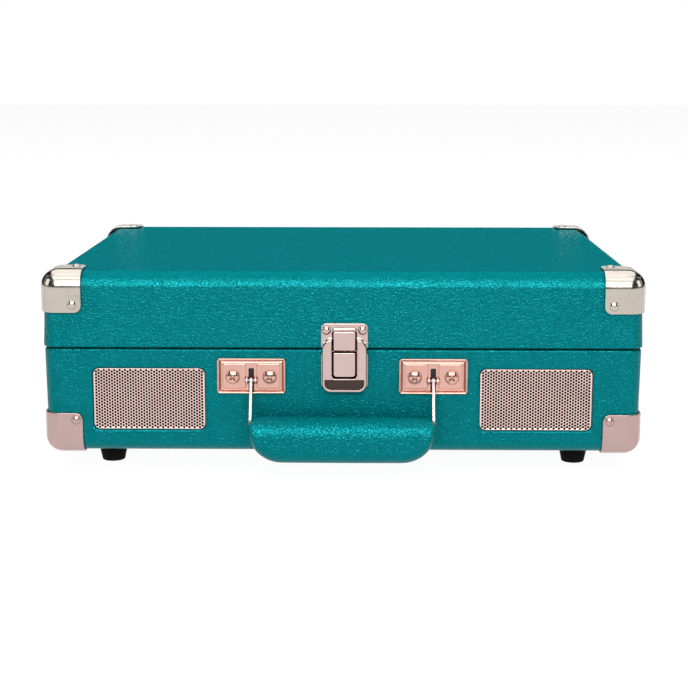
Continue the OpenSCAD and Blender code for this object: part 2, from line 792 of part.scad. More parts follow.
// The large-hole record adapter on its post.
module adapter_45() color("#d8d8da") at_case() translate([adapter_x, adapter_y, deck_top]) difference() {
    union() {
        translate([0, 0, 0.2]) cylinder(r = 19, h = 2);
        translate([0, 0, 2]) cylinder(r1 = 19, r2 = 17, h = 2.4);
    }
    translate([0, 0, -1]) cylinder(r = 3.65, h = 8);
    for (turn = [0, 120, 240]) rotate(turn) translate([11.5, 0, -1]) cylinder(r = 3.4, h = 8);
}

// ---- electronics ----

module circuit_board() color("#1f6b3a") at_case() {
    translate([70, -10, 22]) cube([70, 60, 1.6]);
    for (x = [82, 94, 106]) translate([x, 34, 23.6]) cylinder(r = 4, h = 12);
    translate([112, 0, 23.6]) cube([18, 14, 3]);
    translate([76, 4, 23.6]) cube([22, 5, 14]);
}

module rear_panel() color(dark) at_case() difference() {
    translate([panel_x - 63, inner_d / 2 - 1.5, panel_z - 14]) cube([126, 1.5, 28]);
    for (x = concat(rca_x, [aux_x, phones_x])) translate([x, inner_d / 2, panel_z]) rotate([90, 0, 0])
        cylinder(r = 3, h = 8, center = true);
    translate([dc_x, inner_d / 2, panel_z]) rotate([90, 0, 0]) cylinder(r = 4, h = 8, center = true);
    panel_screw_spots() shank_hole(1, 4.6);
}

// Places a socket on the panel's outer face with +Z pointing out to the rear.
module on_panel(x) {
    at_case() translate([x, inner_d / 2, panel_z]) rotate([-90, 0, 0]) children();
}

module rca_sockets() color("#c9a24a") {
    for (x = rca_x) on_panel(x) difference() {
        union() {
            translate([0, 0, -9]) cylinder(r = 3, h = 10);
            cylinder(r = 5.5, h = 0.8);
            cylinder(r = 4.15, h = 8.5);
        }
        translate([0, 0, 1]) cylinder(r = 1.6, h = 9);
    }
}

// A round plug socket with its bezel outside and its housing inside.
module plug_socket(x) on_panel(x) difference() {
    union() {
        cylinder(r = 4.5, h = 1.5);
        translate([0, 0, -2]) cylinder(r = 3, h = 3);
        translate([-5.5, -5.5, -15]) cube([11, 11, 13.5]);
    }
    translate([0, 0, -12.5]) cylinder(r = plug_r, h = 20);
}

module aux_socket() color("#3a3a3e") plug_socket(aux_x);
module headphone_socket() color("#3a3a3e") plug_socket(phones_x);

module dc_socket() color("#3a3a3e") on_panel(dc_x) {
    difference() {
        union() {
            translate([-6, -6, 0]) cube([12, 12, 1.2]);
            translate([0, 0, -2]) cylinder(r = 4, h = 3);
            translate([-5.5, -5.5, -14]) cube([11, 11, 12.5]);
        }
        translate([0, 0, -9]) cylinder(r = 2.75, h = 20);
    }
    translate([0, 0, -9.5]) cylinder(r = 1, h = 9.5);
}

// ---- lid ----

module lid_shell() color(teal) at_case() difference() {
    case_block(case_w, case_d, lid_bottom, case_h, edge_r, 0, roll_r);
    translate([0, 0, lid_bottom - 1]) linear_extrude(case_h - lid_top_t - lid_bottom + 1)
        round_rect(case_w - 2 * wall, case_d - 2 * wall, 3);
    lid_corner_spots() shank_hole();
    catch_rivet_spots() shank_hole();
    hinge_spots(case_d / 2, 86) shank_hole(1.1, 4);
}

// The thin tray that lines the lid.
module lid_lining() color("#17171a") at_case() difference() {
    translate([0, 0, lid_bottom]) linear_extrude(case_h - lid_top_t - lid_bottom)
        round_rect(case_w - 2 * wall, case_d - 2 * wall, 3);
    translate([0, 0, lid_bottom - 1]) linear_extrude(case_h - lid_top_t - lining_t - lid_bottom + 1)
        round_rect(case_w - 2 * wall - 2 * lining_t, case_d - 2 * wall - 2 * lining_t, 2);
}

module lid_corners() color(silver) at_case() difference() {
    intersection() {
        case_block(case_w + 2 * corner_t, case_d + 2 * corner_t, lid_bottom, case_h + corner_t,
            edge_r + corner_t, 0, roll_r + corner_t);
        corner_region(case_w, case_d, case_h - 24, case_h + corner_t);
    }
    case_block(case_w + 0.06, case_d + 0.06, lid_bottom - 1, case_h + 0.03, edge_r, 0, roll_r);
    lid_corner_spots() shank_hole();
}

module lid_corner_rivets() color(silver) at_case() {
    lid_corner_spots() translate([0, 0, corner_t]) rivet();
}

base_case();
motor_board();
base_corners();
base_corner_rivets();
speaker_grille_left();
speaker_grille_right();
speaker_frame_left();
speaker_frame_right();
speaker_cone_left();
speaker_cone_right();
speaker_magnets();
rubber_feet();
foot_screws();
handle_bracket_left();
handle_bracket_right();
bracket_screws();
pivot_pins();
latch_plate();
hinge_leaves_base();
hinge_leaves_lid();
hinge_pins();
hinge_screws_base();
hinge_screws_lid();
case_screws();
motor();
motor_pulley();
drive_belt();
circuit_board();
volume_control();
rear_panel();
rca_sockets();
dc_socket();
aux_socket();
headphone_socket();
spindle_bearing();
spindle();
platter();
slip_mat();
tonearm_base();
tonearm_gimbal();
tonearm();
cartridge();
stylus();
tonearm_rest();
tonearm_clip();
cue_lever();
lift_bar();
volume_knob();
speed_selector();
autostop_switch();
adapter_45();
lid_shell();
lid_lining();
lid_corners();
lid_corner_rivets();
latch_catch();
catch_rivets();
latch_lever();
handle_grip();
handle_straps();
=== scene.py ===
"""Suitcase record player: the visual model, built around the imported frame.

Shapes are worked out in millimetres in the frame's own axes and turned into metres when a piece is made.
"""

import json
import math

import bmesh
import bpy
import numpy as np
from mathutils import Matrix, Vector
from mathutils.geometry import delaunay_2d_cdt

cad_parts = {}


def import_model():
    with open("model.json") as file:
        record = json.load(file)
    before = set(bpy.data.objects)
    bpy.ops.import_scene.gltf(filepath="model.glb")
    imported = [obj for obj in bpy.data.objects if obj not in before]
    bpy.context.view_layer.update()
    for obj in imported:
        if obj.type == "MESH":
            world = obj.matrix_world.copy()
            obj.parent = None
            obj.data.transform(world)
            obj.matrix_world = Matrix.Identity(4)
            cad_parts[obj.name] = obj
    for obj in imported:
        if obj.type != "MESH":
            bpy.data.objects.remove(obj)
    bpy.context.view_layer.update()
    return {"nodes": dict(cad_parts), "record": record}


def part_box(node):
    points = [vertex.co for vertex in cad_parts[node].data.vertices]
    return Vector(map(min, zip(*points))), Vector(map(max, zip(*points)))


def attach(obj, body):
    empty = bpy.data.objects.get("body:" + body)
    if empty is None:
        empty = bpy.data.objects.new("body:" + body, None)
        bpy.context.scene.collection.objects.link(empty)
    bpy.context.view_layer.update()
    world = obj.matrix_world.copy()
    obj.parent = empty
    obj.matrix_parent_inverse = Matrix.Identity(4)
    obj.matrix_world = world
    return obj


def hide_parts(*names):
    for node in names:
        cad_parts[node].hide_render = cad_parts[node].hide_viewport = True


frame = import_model()

MM = 0.001
PER_METRE = 1000.0
X, Y, Z = 0, 1, 2


def box_mm(node):
    """Lowest and highest corner of a CAD node, in millimetres."""
    low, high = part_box(node)
    return np.array(low) / MM, np.array(high) / MM


def middle(node):
    low, high = box_mm(node)
    return (low + high) / 2


# ---- sizes read from the frame ----

LID_LOW, LID_HIGH = box_mm("lid_shell")
BASE_LOW, BASE_HIGH = box_mm("base_case")
Y_MID = (LID_LOW[Y] + LID_HIGH[Y]) / 2
LID_W, LID_D = (LID_HIGH - LID_LOW)[:2]
BASE_W, BASE_D = (BASE_HIGH - BASE_LOW)[:2]
BASE_FRONT = BASE_LOW[Y]
BASE_REAR = BASE_HIGH[Y]
LID_FRONT = LID_LOW[Y]
BEARING_STANDS = 0.8
DECK_TOP = box_mm("spindle_bearing")[1][Z] - BEARING_STANDS
GRILLES = {side: box_mm(f"speaker_grille_{side}") for side in ("left", "right")}
CAP_T = BASE_LOW[Z] - box_mm("base_corners")[0][Z]

# ---- sizes in millimetres that the frame doesn't give ----

# Case halves: wall, upright edges' radius, rounds along the flats, skins behind them and the rim's round.
WALL = 6.0
EDGE_R = 7.0
LID_ROLL_R = 9.0
BASE_ROLL_R = 6.0
LID_SKIN = 4.5
BASE_SKIN = 4.0
RIM_R = 1.1

# Metal corners: flange lengths, radius of the ball at the point, free corners' radius and grid, and the
# step to the raised patch that takes the rivets.
LID_CAP_LEG = 25.0
BASE_CAP_LEG = 23.6
LID_CAP_BALL = 11.0
BASE_CAP_BALL = 10.2
CAP_FREE_R = 4.2
CAP_GRID = 30
CAP_SHEET = 0.95
PATCH_FROM = 15.0
PATCH_RISE = 0.06
PATCH_SLOPE = 0.9
RIVET_INSET = 18.4
RIVET_R = 2.8
RIVET_DOME = 1.3
BASE_RIVET_UP = 19.9
LID_RIVET_DOWN = 19.2

# Openings: a speaker's is larger than its grille, and the rear one is for the socket panel.
OPENING_GAP = 2.2
OPENING_R = 4.8
LIP_R = 1.15
REAR_OPENING = (114, 24)
CUT_BELOW, CUT_ABOVE = -8, 5

# Grille: sheet and cloth against the opening, holes and how far each lies behind the case's front.
SHEET_GAP = 0.7
SHEET_R = 3.6
SHEET_T = 0.25
SHEET_BACK = 1.1
HOLE_PITCH = 1.8
HOLE_R = 0.76
HOLE_SIDES = 10
HOLE_MARGIN = 0.22
CLOTH_OVER = 1.5
CLOTH_BACK = 4.6

# Hinge points of the handle and of the latch lever, and the straps' distance from the middle.
HANDLE_PIVOT = np.array([0.0, -126.6, 53.8])
LATCH_PIVOT = np.array([0.0, -127.65, 76.5])
STRAP_X = 53.3

# Handle brackets: centre height, pressed panel's height, panels' and screws' distance from the slot.
BRACKET_Z = 56.2
PANEL_H = 1.35
PANEL_X = 10.0
SCREW_X = 10.85
SCREW_UP = 1.9
SLOT_DOWN = -2.35

# Latch: widths, and the reach that the lever's back may have round its pivot.
BLOCK_W = 12.8
LATCH_RIVET_X = 10.6
LATCH_RIVET_Z = 83.5
PIVOT_CLEAR = 2.15

FOOT_INSET = 8.8
RIM_MARKS = 120
VOLUME_TICKS = 11
TICK_FROM = 15.0

# ---- light: radiance of the room, floor and softboxes, and the floor's half width in metres ----

ROOM_LIGHT = 0.015
FLOOR_GLOW = 0.96
FLOOR_TONE = 0.04
FLOOR_HALF = 8.0
FRONT_LIGHT = 11.0
FRONT_GLINT = 6.5
FRONT_HIGH_LIGHT = 1.1
PEBBLE_LIGHT = 8.0
OVERHEAD_LIGHT = 6.35
OVERHEAD_GLINT = 1.6
SIDE_LIGHT = 1.6
BACK_GLINT = 0.8


# ---- node materials ----

class Shader:
    """A material's node tree with short calls for the nodes that the recipes below use."""

    def __init__(self, name):
        self.material = bpy.data.materials.new(name)
        self.material.use_nodes = True
        self.tree = self.material.node_tree
        self.bsdf = self.tree.nodes["Principled BSDF"]
        self.coords = self.node("ShaderNodeTexCoord").outputs["Object"]

    def node(self, kind, **settings):
        made = self.tree.nodes.new(kind)
        for key, value in settings.items():
            setattr(made, key, value)
        return made

    def link(self, source, target):
        self.tree.links.new(source, target)

    def fill(self, made, inputs):
        for key, value in inputs.items():
            if isinstance(value, bpy.types.NodeSocket):
                self.link(value, made.inputs[key])
            else:
                made.inputs[key].default_value = value
        return made

    def set(self, **values):
        for key, value in values.items():
            name = key.replace("_", " ")
            if isinstance(value, tuple) and len(value) == 3:
                value = (*value, 1.0)
            self.bsdf.inputs[name].default_value = value

    def noise(self, size_mm, detail=3.0, rough=0.55, coords=None):
        made = self.fill(self.node("ShaderNodeTexNoise"),
                         {"Vector": coords or self.coords, "Scale": PER_METRE / size_mm,
                          "Detail": detail, "Roughness": rough})
        return made.outputs["Fac"]

    def stretched(self, scale):
        made = self.fill(self.node("ShaderNodeMapping"), {"Vector": self.coords, "Scale": scale})
        return made.outputs["Vector"]

    def voronoi(self, size_mm, feature="F1", coords=None, smooth=None):
        made = self.fill(self.node("ShaderNodeTexVoronoi", feature=feature),
                         {"Vector": coords or self.coords, "Scale": PER_METRE / size_mm})
        if smooth is not None:
            made.inputs["Smoothness"].default_value = smooth
        return made.outputs["Distance"]

    def warp(self, size_mm, amount_mm):
        """The object coordinates pushed about by noise, so that cells aren't regular."""
        noise = self.fill(self.node("ShaderNodeTexNoise"),
                          {"Vector": self.coords, "Scale": PER_METRE / size_mm, "Detail": 1.0})
        centred = self.fill(self.node("ShaderNodeVectorMath", operation="SUBTRACT"),
                            {0: noise.outputs["Color"], 1: (0.5, 0.5, 0.5)})
        moved = self.fill(self.node("ShaderNodeVectorMath", operation="SCALE"),
                          {0: centred.outputs[0], "Scale": amount_mm * MM})
        total = self.fill(self.node("ShaderNodeVectorMath", operation="ADD"),
                          {0: self.coords, 1: moved.outputs[0]})
        return total.outputs[0]

    def ramp(self, value, low, high, out_low=0.0, out_high=1.0):
        made = self.fill(self.node("ShaderNodeMapRange", clamp=True),
                         {"Value": value, "From Min": low, "From Max": high,
                          "To Min": out_low, "To Max": out_high})
        return made.outputs["Result"]

    def math(self, operation, a, b):
        return self.fill(self.node("ShaderNodeMath", operation=operation), {0: a, 1: b}).outputs[0]

    def mix(self, factor, a, b):
        made = self.node("ShaderNodeMix", data_type="RGBA")
        self.fill(made, {"Factor": factor})
        for socket, value in ((made.inputs[6], a), (made.inputs[7], b)):
            if isinstance(value, bpy.types.NodeSocket):
                self.link(value, socket)
            else:
                socket.default_value = (*value, 1.0)
        return made.outputs[2]

    def colour(self, value):
        self.link(value, self.bsdf.inputs["Base Color"])

    def rough(self, value):
        self.link(value, self.bsdf.inputs["Roughness"])

    def occlusion_shade(self, reach_mm):
        """Falls from 1 in the open towards 0 in corners: ambient occlusion, for shade painted into the
        colour.
        """
        made = self.fill(self.node("ShaderNodeAmbientOcclusion", samples=6), {"Distance": reach_mm * MM})
        return made.outputs["AO"]

    def bump(self, height, depth_mm, edge_mm=0.0):
        made = self.fill(self.node("ShaderNodeBump"),
                         {"Height": height, "Distance": depth_mm * MM, "Strength": 1.0})
        if edge_mm:
            edge = self.fill(self.node("ShaderNodeBevel", samples=4), {"Radius": edge_mm * MM})
            self.link(edge.outputs["Normal"], made.inputs["Normal"])
        self.link(made.outputs["Normal"], self.bsdf.inputs["Normal"])


def linear(red, green, blue):
    """An sRGB colour of 0 to 255 as linear light."""
    def one(value):
        value /= 255.0
        return value / 12.92 if value <= 0.04045 else ((value + 0.055) / 1.055) ** 2.4
    return one(red), one(green), one(blue)


TEAL_GAIN = 0.641
TEAL = tuple(TEAL_GAIN * part for part in (0.0, 0.262, 0.288))
# A darker teal, painted into the grain's creases as shade.
TEAL_CREASE_SHADE = tuple(0.62 * part for part in TEAL)
TEAL_PALE = tuple(1.25 * part for part in TEAL)


def leatherette(name, grain_mm=1.15, depth_mm=0.28):
    """Embossed vinyl: pebbles with fine creases between them and a tinted sheen."""
    s = Shader(name)
    warped = s.warp(2.0, 1.0)
    pebble = s.voronoi(grain_mm, "SMOOTH_F1", warped, smooth=0.4)
    crease = s.voronoi(grain_mm * 1.7, "DISTANCE_TO_EDGE", warped)
    fine = s.noise(0.5, 2.0)
    dome = s.ramp(pebble, 0.0, 0.8, 1.0, 0.0)
    cut_in = s.ramp(crease, 0.0, 0.14)
    height = s.math("ADD", s.math("MULTIPLY", dome, 0.8), s.math("MULTIPLY", cut_in, 0.3))
    height = s.math("ADD", height, s.math("MULTIPLY", fine, 0.12))
    blotch = s.noise(30.0, 3.0)
    # Painted shade: a darker teal low in the grain, in the creases between the pebbles.
    tone = s.mix(s.ramp(height, 0.3, 0.9, 0.6, 1.0), TEAL_CREASE_SHADE, TEAL)
    tone = s.mix(s.ramp(s.noise(1.6, 2.0), 0.4, 0.75, 0.0, 0.5), tone, TEAL_PALE)
    tone = s.mix(s.ramp(blotch, 0.45, 0.75, 0.0, 0.12), tone, TEAL_PALE)
    s.colour(tone)
    s.rough(s.ramp(s.noise(3.0, 3.0), 0.3, 0.7, 0.2, 0.28))
    s.bump(height, depth_mm)
    s.set(Metallic=0.4, Specular_IOR_Level=0.06, Specular_Tint=(1.0, 0.8, 0.8))
    return s.material


PLATING_GRAIN = 0.004
PLATING_EDGE = 0.25
MOULDED_EDGE = 0.35


def plated(name, tone, rough=0.12, wear=0.06):
    """Plating on pressed steel: faint draw lines, light smears, tiny pits, and painted shade darkening its
    corners.
    """
    s = Shader(name)
    smear = s.noise(12.0, 4.0, 0.6)
    lines = s.noise(0.6, 2.0, 0.5, s.stretched((0.1, 1.0, 1.0)))
    pits = s.ramp(s.noise(0.8, 1.0), 0.68, 0.8)
    deep = tuple(part * 0.9 for part in tone)
    worn = s.mix(s.math("MAXIMUM", s.ramp(smear, 0.4, 0.8, 0.0, 0.7), s.math("MULTIPLY", pits, 0.6)),
                 tone, deep)
    # Painted shade: the colour falls towards near-black in corners and crevices, where ambient occlusion
    # finds them.
    painted_corner_shade = tuple(part * 0.16 for part in tone)
    s.colour(s.mix(s.ramp(s.occlusion_shade(1.1), 0.4, 0.92), painted_corner_shade, worn))
    s.rough(s.math("ADD", s.ramp(smear, 0.3, 0.7, rough, rough + wear),
                   s.ramp(lines, 0.3, 0.7, 0.0, 0.04)))
    s.bump(s.math("ADD", lines, s.math("MULTIPLY", s.noise(2.5, 2.0), 1.5)), PLATING_GRAIN, PLATING_EDGE)
    s.set(Metallic=1.0)
    return s.material


def moulded(name, tone, rough=0.45, grain_mm=0.5, depth_mm=0.02, coat=0.0, gloss=0.35):
    """Moulded plastic or rubber with spark-eroded texture and handling marks."""
    s = Shader(name)
    texture = s.noise(grain_mm, 3.0, 0.6)
    marks = s.noise(14.0, 4.0, 0.6)
    paler = tuple(min(1.0, part * 1.5 + 0.004) for part in tone)
    s.colour(s.mix(s.ramp(marks, 0.5, 0.8, 0.0, 0.5), tone, paler))
    s.rough(s.ramp(marks, 0.3, 0.7, rough - 0.05, rough + 0.1))
    s.bump(texture, depth_mm, MOULDED_EDGE)
    s.set(Coat_Weight=coat, Coat_Roughness=0.12, Specular_IOR_Level=gloss)
    return s.material


def felt(name, tone, paler, fibre_mm=0.25):
    """Flocked or pressed fibre, paler where the fibres catch the light."""
    s = Shader(name)
    fibres = s.noise(fibre_mm, 4.0, 0.7)
    drift = s.noise(9.0, 4.0)
    s.colour(s.mix(s.math("MULTIPLY", s.ramp(fibres, 0.35, 0.75), s.ramp(drift, 0.3, 0.8, 0.4, 1.0)),
                   tone, paler))
    s.bump(fibres, 0.12)
    s.set(Roughness=0.92, Sheen_Weight=0.3, Sheen_Roughness=0.5)
    return s.material


FINISHES = {
    "leatherette": (leatherette,),
    "grip_leatherette": (leatherette, 1.25, 0.36),
    "lid_lining": (felt, (0.006, 0.006, 0.007), (0.03, 0.03, 0.032)),
    "deck_vinyl": (moulded, (0.012, 0.012, 0.013), 0.42, 0.8, 0.06),
    "rose_metal": (plated, linear(224, 176, 163)),
    "warm_nickel": (plated, linear(200, 192, 181)),
    "grille_metal": (plated, linear(240, 211, 204), 0.35),
    "zinc_steel": (plated, (0.62, 0.63, 0.64), 0.24),
    "brass": (plated, linear(205, 165, 90), 0.2),
    "gold_plate": (plated, linear(232, 196, 110), 0.14),
    "black_rubber": (moulded, (0.003, 0.003, 0.003), 0.7, 0.6, 0.05, 0.0, 0.06),
    "felt": (felt, (0.008, 0.008, 0.009), (0.04, 0.04, 0.042)),
    "black_plastic": (moulded, (0.012, 0.012, 0.013), 0.4, 0.45, 0.02),
    "gloss_black": (moulded, (0.008, 0.008, 0.009), 0.22, 2.5, 0.01, 0.6),
    "red_plastic": (moulded, (0.42, 0.012, 0.012), 0.3, 1.0, 0.01, 0.4),
    "grey_plastic": (moulded, (0.42, 0.42, 0.43), 0.38, 0.5, 0.02),
    "paper_cone": (felt, (0.012, 0.012, 0.013), (0.035, 0.034, 0.034), 0.6),
    "ferrite": (moulded, (0.03, 0.03, 0.033), 0.6, 0.4, 0.03),
    "fibreglass": (moulded, (0.01, 0.12, 0.045), 0.35, 0.7, 0.01, 0.4),
    "platter_steel": (moulded, (0.014, 0.014, 0.016), 0.3, 0.9, 0.02, 0.3),
}
MATERIALS = {name: finish(name, *values) for name, (finish, *values) in FINISHES.items()}
# Black for the speaker cloth, and for the sheets that paint shadow into the latch's gaps.
CLOTH_AND_SHADOW_BLACK = moulded("speaker_cloth_and_shadow", (0.0003, 0.0003, 0.0003), 0.95, gloss=0.0)
PALE_ROSE = plated("pale_rose_metal", linear(211, 185, 180))
# A duller, darker copy of the rose plating for the base's corners: its darkness is painted shade, as the
# floor they reflect is shadowed there.
LOW_SHADED_ROSE = plated("low_shaded_rose_metal", linear(193, 165, 160), 0.2)
# A dark copy of the rose plating: painted shade and dark reflection for the latch lever's finger scoop.
SHADED_ROSE = plated("shaded_rose_metal", linear(70, 58, 56), 0.3, 0.25)
ARM_PLASTIC = moulded("arm_plastic", (0.05, 0.05, 0.053), 0.3, 0.6, 0.01, 0.4)
PRINT = moulded("pale_print", (0.55, 0.55, 0.55), 0.5)
MAT_RUBBER = moulded("mat_rubber", (0.012, 0.012, 0.013), 0.55, 0.5, 0.04)

SLOT_OF = {entry["node"]: entry["material_slot"] for entry in frame["record"]["subparts"]}


# ---- mesh building ----

def joined(parts):
    """Several (vertices, faces) pairs as one."""
    verts, faces, start = [], [], 0
    for part_verts, part_faces in parts:
        part_verts = np.asarray(part_verts, float).reshape(-1, 3)
        verts.append(part_verts)
        faces += [tuple(i + start for i in face) for face in part_faces]
        start += len(part_verts)
    return np.concatenate(verts), faces


WELD = 0.002
SHARP = 35.0


def in_scene(name, data):
    """A new object, linked into the scene."""
    made = bpy.data.objects.new(name, data)
    bpy.context.scene.collection.objects.link(made)
    return made


def evaluated_mesh(made):
    """A fresh mesh of an object as its modifiers leave it."""
    bpy.context.view_layer.update()
    return bpy.data.meshes.new_from_object(made.evaluated_get(bpy.context.evaluated_depsgraph_get()))


def raw_object(name, parts, angle=SHARP):
    """A mesh object from parts in millimetres, smooth but for its sharp edges."""
    verts, faces = joined(parts if isinstance(parts, list) else [parts])
    mesh = bpy.data.meshes.new(name)
    mesh.from_pydata([tuple(v) for v in verts * MM], [], faces)
    mesh.validate()
    bm = bmesh.new()
    bm.from_mesh(mesh)
    bmesh.ops.remove_doubles(bm, verts=bm.verts, dist=WELD * MM)
    bmesh.ops.recalc_face_normals(bm, faces=bm.faces)
    bm.to_mesh(mesh)
    bm.free()
    for face in mesh.polygons:
        face.use_smooth = True
    mesh.set_sharp_from_angle(angle=math.radians(angle))
    return in_scene(name, mesh)


PIECES = []


def piece(name, parts, slot, body, replaces=(), bevel=0.0, segments=2, angle=SHARP, material=None):
    """Makes a piece of the model from parts in millimetres, with its material, and lets it ride a body."""
    made = raw_object(name, parts, angle)
    made.data.materials.append(material or MATERIALS[slot])
    if bevel:
        add_bevel(made, bevel, segments)
    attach(made, body)
    if replaces:
        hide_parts(*replaces)
    PIECES.append(made)
    return made


def add_bevel(made, width_mm, segments, angle=SHARP):
    """Rounds the edges that are sharper than the angle in degrees."""
    bevel = made.modifiers.new("bevel", "BEVEL")
    bevel.width = width_mm * MM
    bevel.segments = segments
    bevel.limit_method = "ANGLE"
    bevel.angle_limit = math.radians(angle)


def thicken(made, thick_mm):
    """Gives a sheet its thickness, behind its face."""
    solid = made.modifiers.new("thickness", "SOLIDIFY")
    solid.thickness = thick_mm * MM
    solid.offset = -1.0


def arc(centre, radius, start, end, count):
    """Points on an arc in a plane, angles in degrees."""
    angles = np.radians(np.linspace(start, end, count + 1))
    return [(centre[0] + radius * math.cos(a), centre[1] + radius * math.sin(a)) for a in angles]


def round_rect(width, height, radii, count=6, centre=(0.0, 0.0)):
    """Outline of a rectangle with round corners; radii run from the lower left, anticlockwise."""
    if np.isscalar(radii):
        radii = [radii] * 4
    points = []
    for (sx, sy), radius, start in zip(((-1, -1), (1, -1), (1, 1), (-1, 1)), radii, (180, 270, 0, 90)):
        corner = (centre[0] + sx * (width / 2 - radius), centre[1] + sy * (height / 2 - radius))
        points += arc(corner, radius, start, start + 90, count)
    return points


def loft(rings, closed_start=True, closed_end=True, loop=False):
    """Joins rings of equal length with quads; the end rings are filled unless told otherwise."""
    count = len(rings[0])
    verts = [v for ring in rings for v in ring]
    faces = []
    for k in range(len(rings) - (0 if loop else 1)):
        a, b = k * count, ((k + 1) % len(rings)) * count
        for i in range(count):
            j = (i + 1) % count
            faces.append((a + i, a + j, b + j, b + i))
    if closed_start and not loop:
        faces.append(tuple(range(count))[::-1])
    if closed_end and not loop:
        start = (len(rings) - 1) * count
        faces.append(tuple(range(start, start + count)))
    return verts, faces


def turned(part, axis, place):
    """Moves a part made round +Z so that +Z becomes the named axis, and puts its origin at place."""
    turns = {
        "+z": Matrix.Identity(3),
        "-z": Matrix.Rotation(math.pi, 3, "X"),
        "-y": Matrix.Rotation(math.pi / 2, 3, "X"),
        "+y": Matrix.Rotation(-math.pi / 2, 3, "X"),
        "+x": Matrix.Rotation(math.pi / 2, 3, "Y"),
        "-x": Matrix.Rotation(-math.pi / 2, 3, "Y"),
    }
    verts, faces = part
    return np.asarray(verts, float) @ np.array(turns[axis]).T + np.array(place, float), faces


ON_AXIS = 1e-4


def lathe(profile, count):
    """A solid of revolution about +Z from (radius, height) pairs that start and end on the axis."""
    rings = []
    for radius, height in profile:
        radius = max(radius, ON_AXIS)
        rings.append([(x, y, height) for x, y in arc((0, 0), radius, 0, 360, count)[:-1]])
    return loft(rings)


def ring_lathe(profile, count):
    """A ring about +Z from a closed loop of (radius, height) pairs."""
    rings = [[(x, y, height) for x, y in arc((0, 0), radius, 0, 360, count)[:-1]]
             for radius, height in profile]
    return loft(rings, loop=True)


def prism(outline, low, high):
    """An outline in XY extruded from low to high along +Z."""
    return loft([[(x, y, low) for x, y in outline], [(x, y, high) for x, y in outline]])


def block(low, high):
    """A box between two corners."""
    (x0, y0, z0), (x1, y1, z1) = low, high
    return prism([(x0, y0), (x1, y0), (x1, y1), (x0, y1)], z0, z1)


def stepped(outline_at, steps):
    """A raised shape from outlines that shrink as they rise: steps are (inset, height) pairs."""
    return loft([[(x, y, height) for x, y in outline_at(inset)] for inset, height in steps])


def carved(part, cutters):
    """A part less the solid of the cutters, as a part again."""
    body = raw_object("body", part)
    tool = raw_object("tool", cutters)
    boolean = body.modifiers.new("cut", "BOOLEAN")
    boolean.object = tool
    boolean.operation = "DIFFERENCE"
    boolean.solver = "EXACT"
    fresh = evaluated_mesh(body)
    verts = np.array([v.co[:] for v in fresh.vertices]) / MM
    faces = [tuple(face.vertices) for face in fresh.polygons]
    for temporary in (body, tool):
        mesh = temporary.data
        bpy.data.objects.remove(temporary)
        bpy.data.meshes.remove(mesh)
    bpy.data.meshes.remove(fresh)
    return verts, faces


# ---- case ----

def case_ring(width, depth, inset, height):
    """The case's outline at a height, drawn in by inset."""
    radius = max(EDGE_R - inset, 0.8)
    return [(x, y, height) for x, y in
            round_rect(width - 2 * inset, depth - 2 * inset, radius, 8, (0.0, Y_MID))]


CORNER_NAMES = {(-1, -1): "front_left", (1, -1): "front_right", (-1, 1): "rear_left", (1, 1): "rear_right"}


def case_corners(low, high, flat_is_top):
    """Name, place and outward signs of each corner on the flat side of a box."""
    for (sx, sy), name in CORNER_NAMES.items():
        outward = np.array([sx, sy, 1 if flat_is_top else -1])
        yield name, np.where(outward > 0, high, low), outward


def tucked(verts, low, high, flat_is_top, roll):
    """Rounds off the four corners of the flat side, which the metal corners cover."""
    reach = roll + 2.5
    verts = np.array(verts, float)
    for _, corner, outward in case_corners(low, high, flat_is_top):
        local = (corner - verts) * outward
        inside = (local < reach).all(axis=1)
        away = local[inside] - reach
        length = np.linalg.norm(away, axis=1, keepdims=True)
        away *= np.minimum(1.0, (reach - 0.1) / np.maximum(length, 1e-6))
        verts[inside] = corner - (away + reach) * outward
    return verts


def case_shell(width, depth, rim_z, flat_z, skin, roll):
    """Half of the case: the inner flat, up the inside, over the rim, down the wall, round the roll."""
    up = 1.0 if flat_z > rim_z else -1.0
    inner_z = flat_z - up * skin
    path = [(WALL, inner_z)]
    for a in np.radians([0, 25, 50, 75, 90]):
        path.append((WALL - RIM_R + RIM_R * math.cos(a), rim_z + up * RIM_R * (1 - math.sin(a))))
    for a in np.radians([0, 15, 40, 65, 90]):
        path.append((RIM_R * (1 - math.sin(a)), rim_z + up * RIM_R * (1 - math.cos(a))))
    for a in np.radians(np.linspace(0, 90, 13)):
        path.append((roll * (1 - math.cos(a)), flat_z - up * roll * (1 - math.sin(a))))
    return loft([case_ring(width, depth, inset, z) for inset, z in path])


def lid_shell():
    verts, faces = case_shell(LID_W, LID_D, LID_LOW[Z], LID_HIGH[Z], LID_SKIN, LID_ROLL_R)
    verts = tucked(verts, LID_LOW, LID_HIGH, True, LID_ROLL_R)
    piece("lid_leatherette", (verts, faces), "leatherette", "lid", ["lid_shell"], angle=60)


def grille_size(side, extra):
    """A grille's width and height with something added to both."""
    low, high = GRILLES[side]
    return high[X] - low[X] + extra, high[Z] - low[Z] + extra


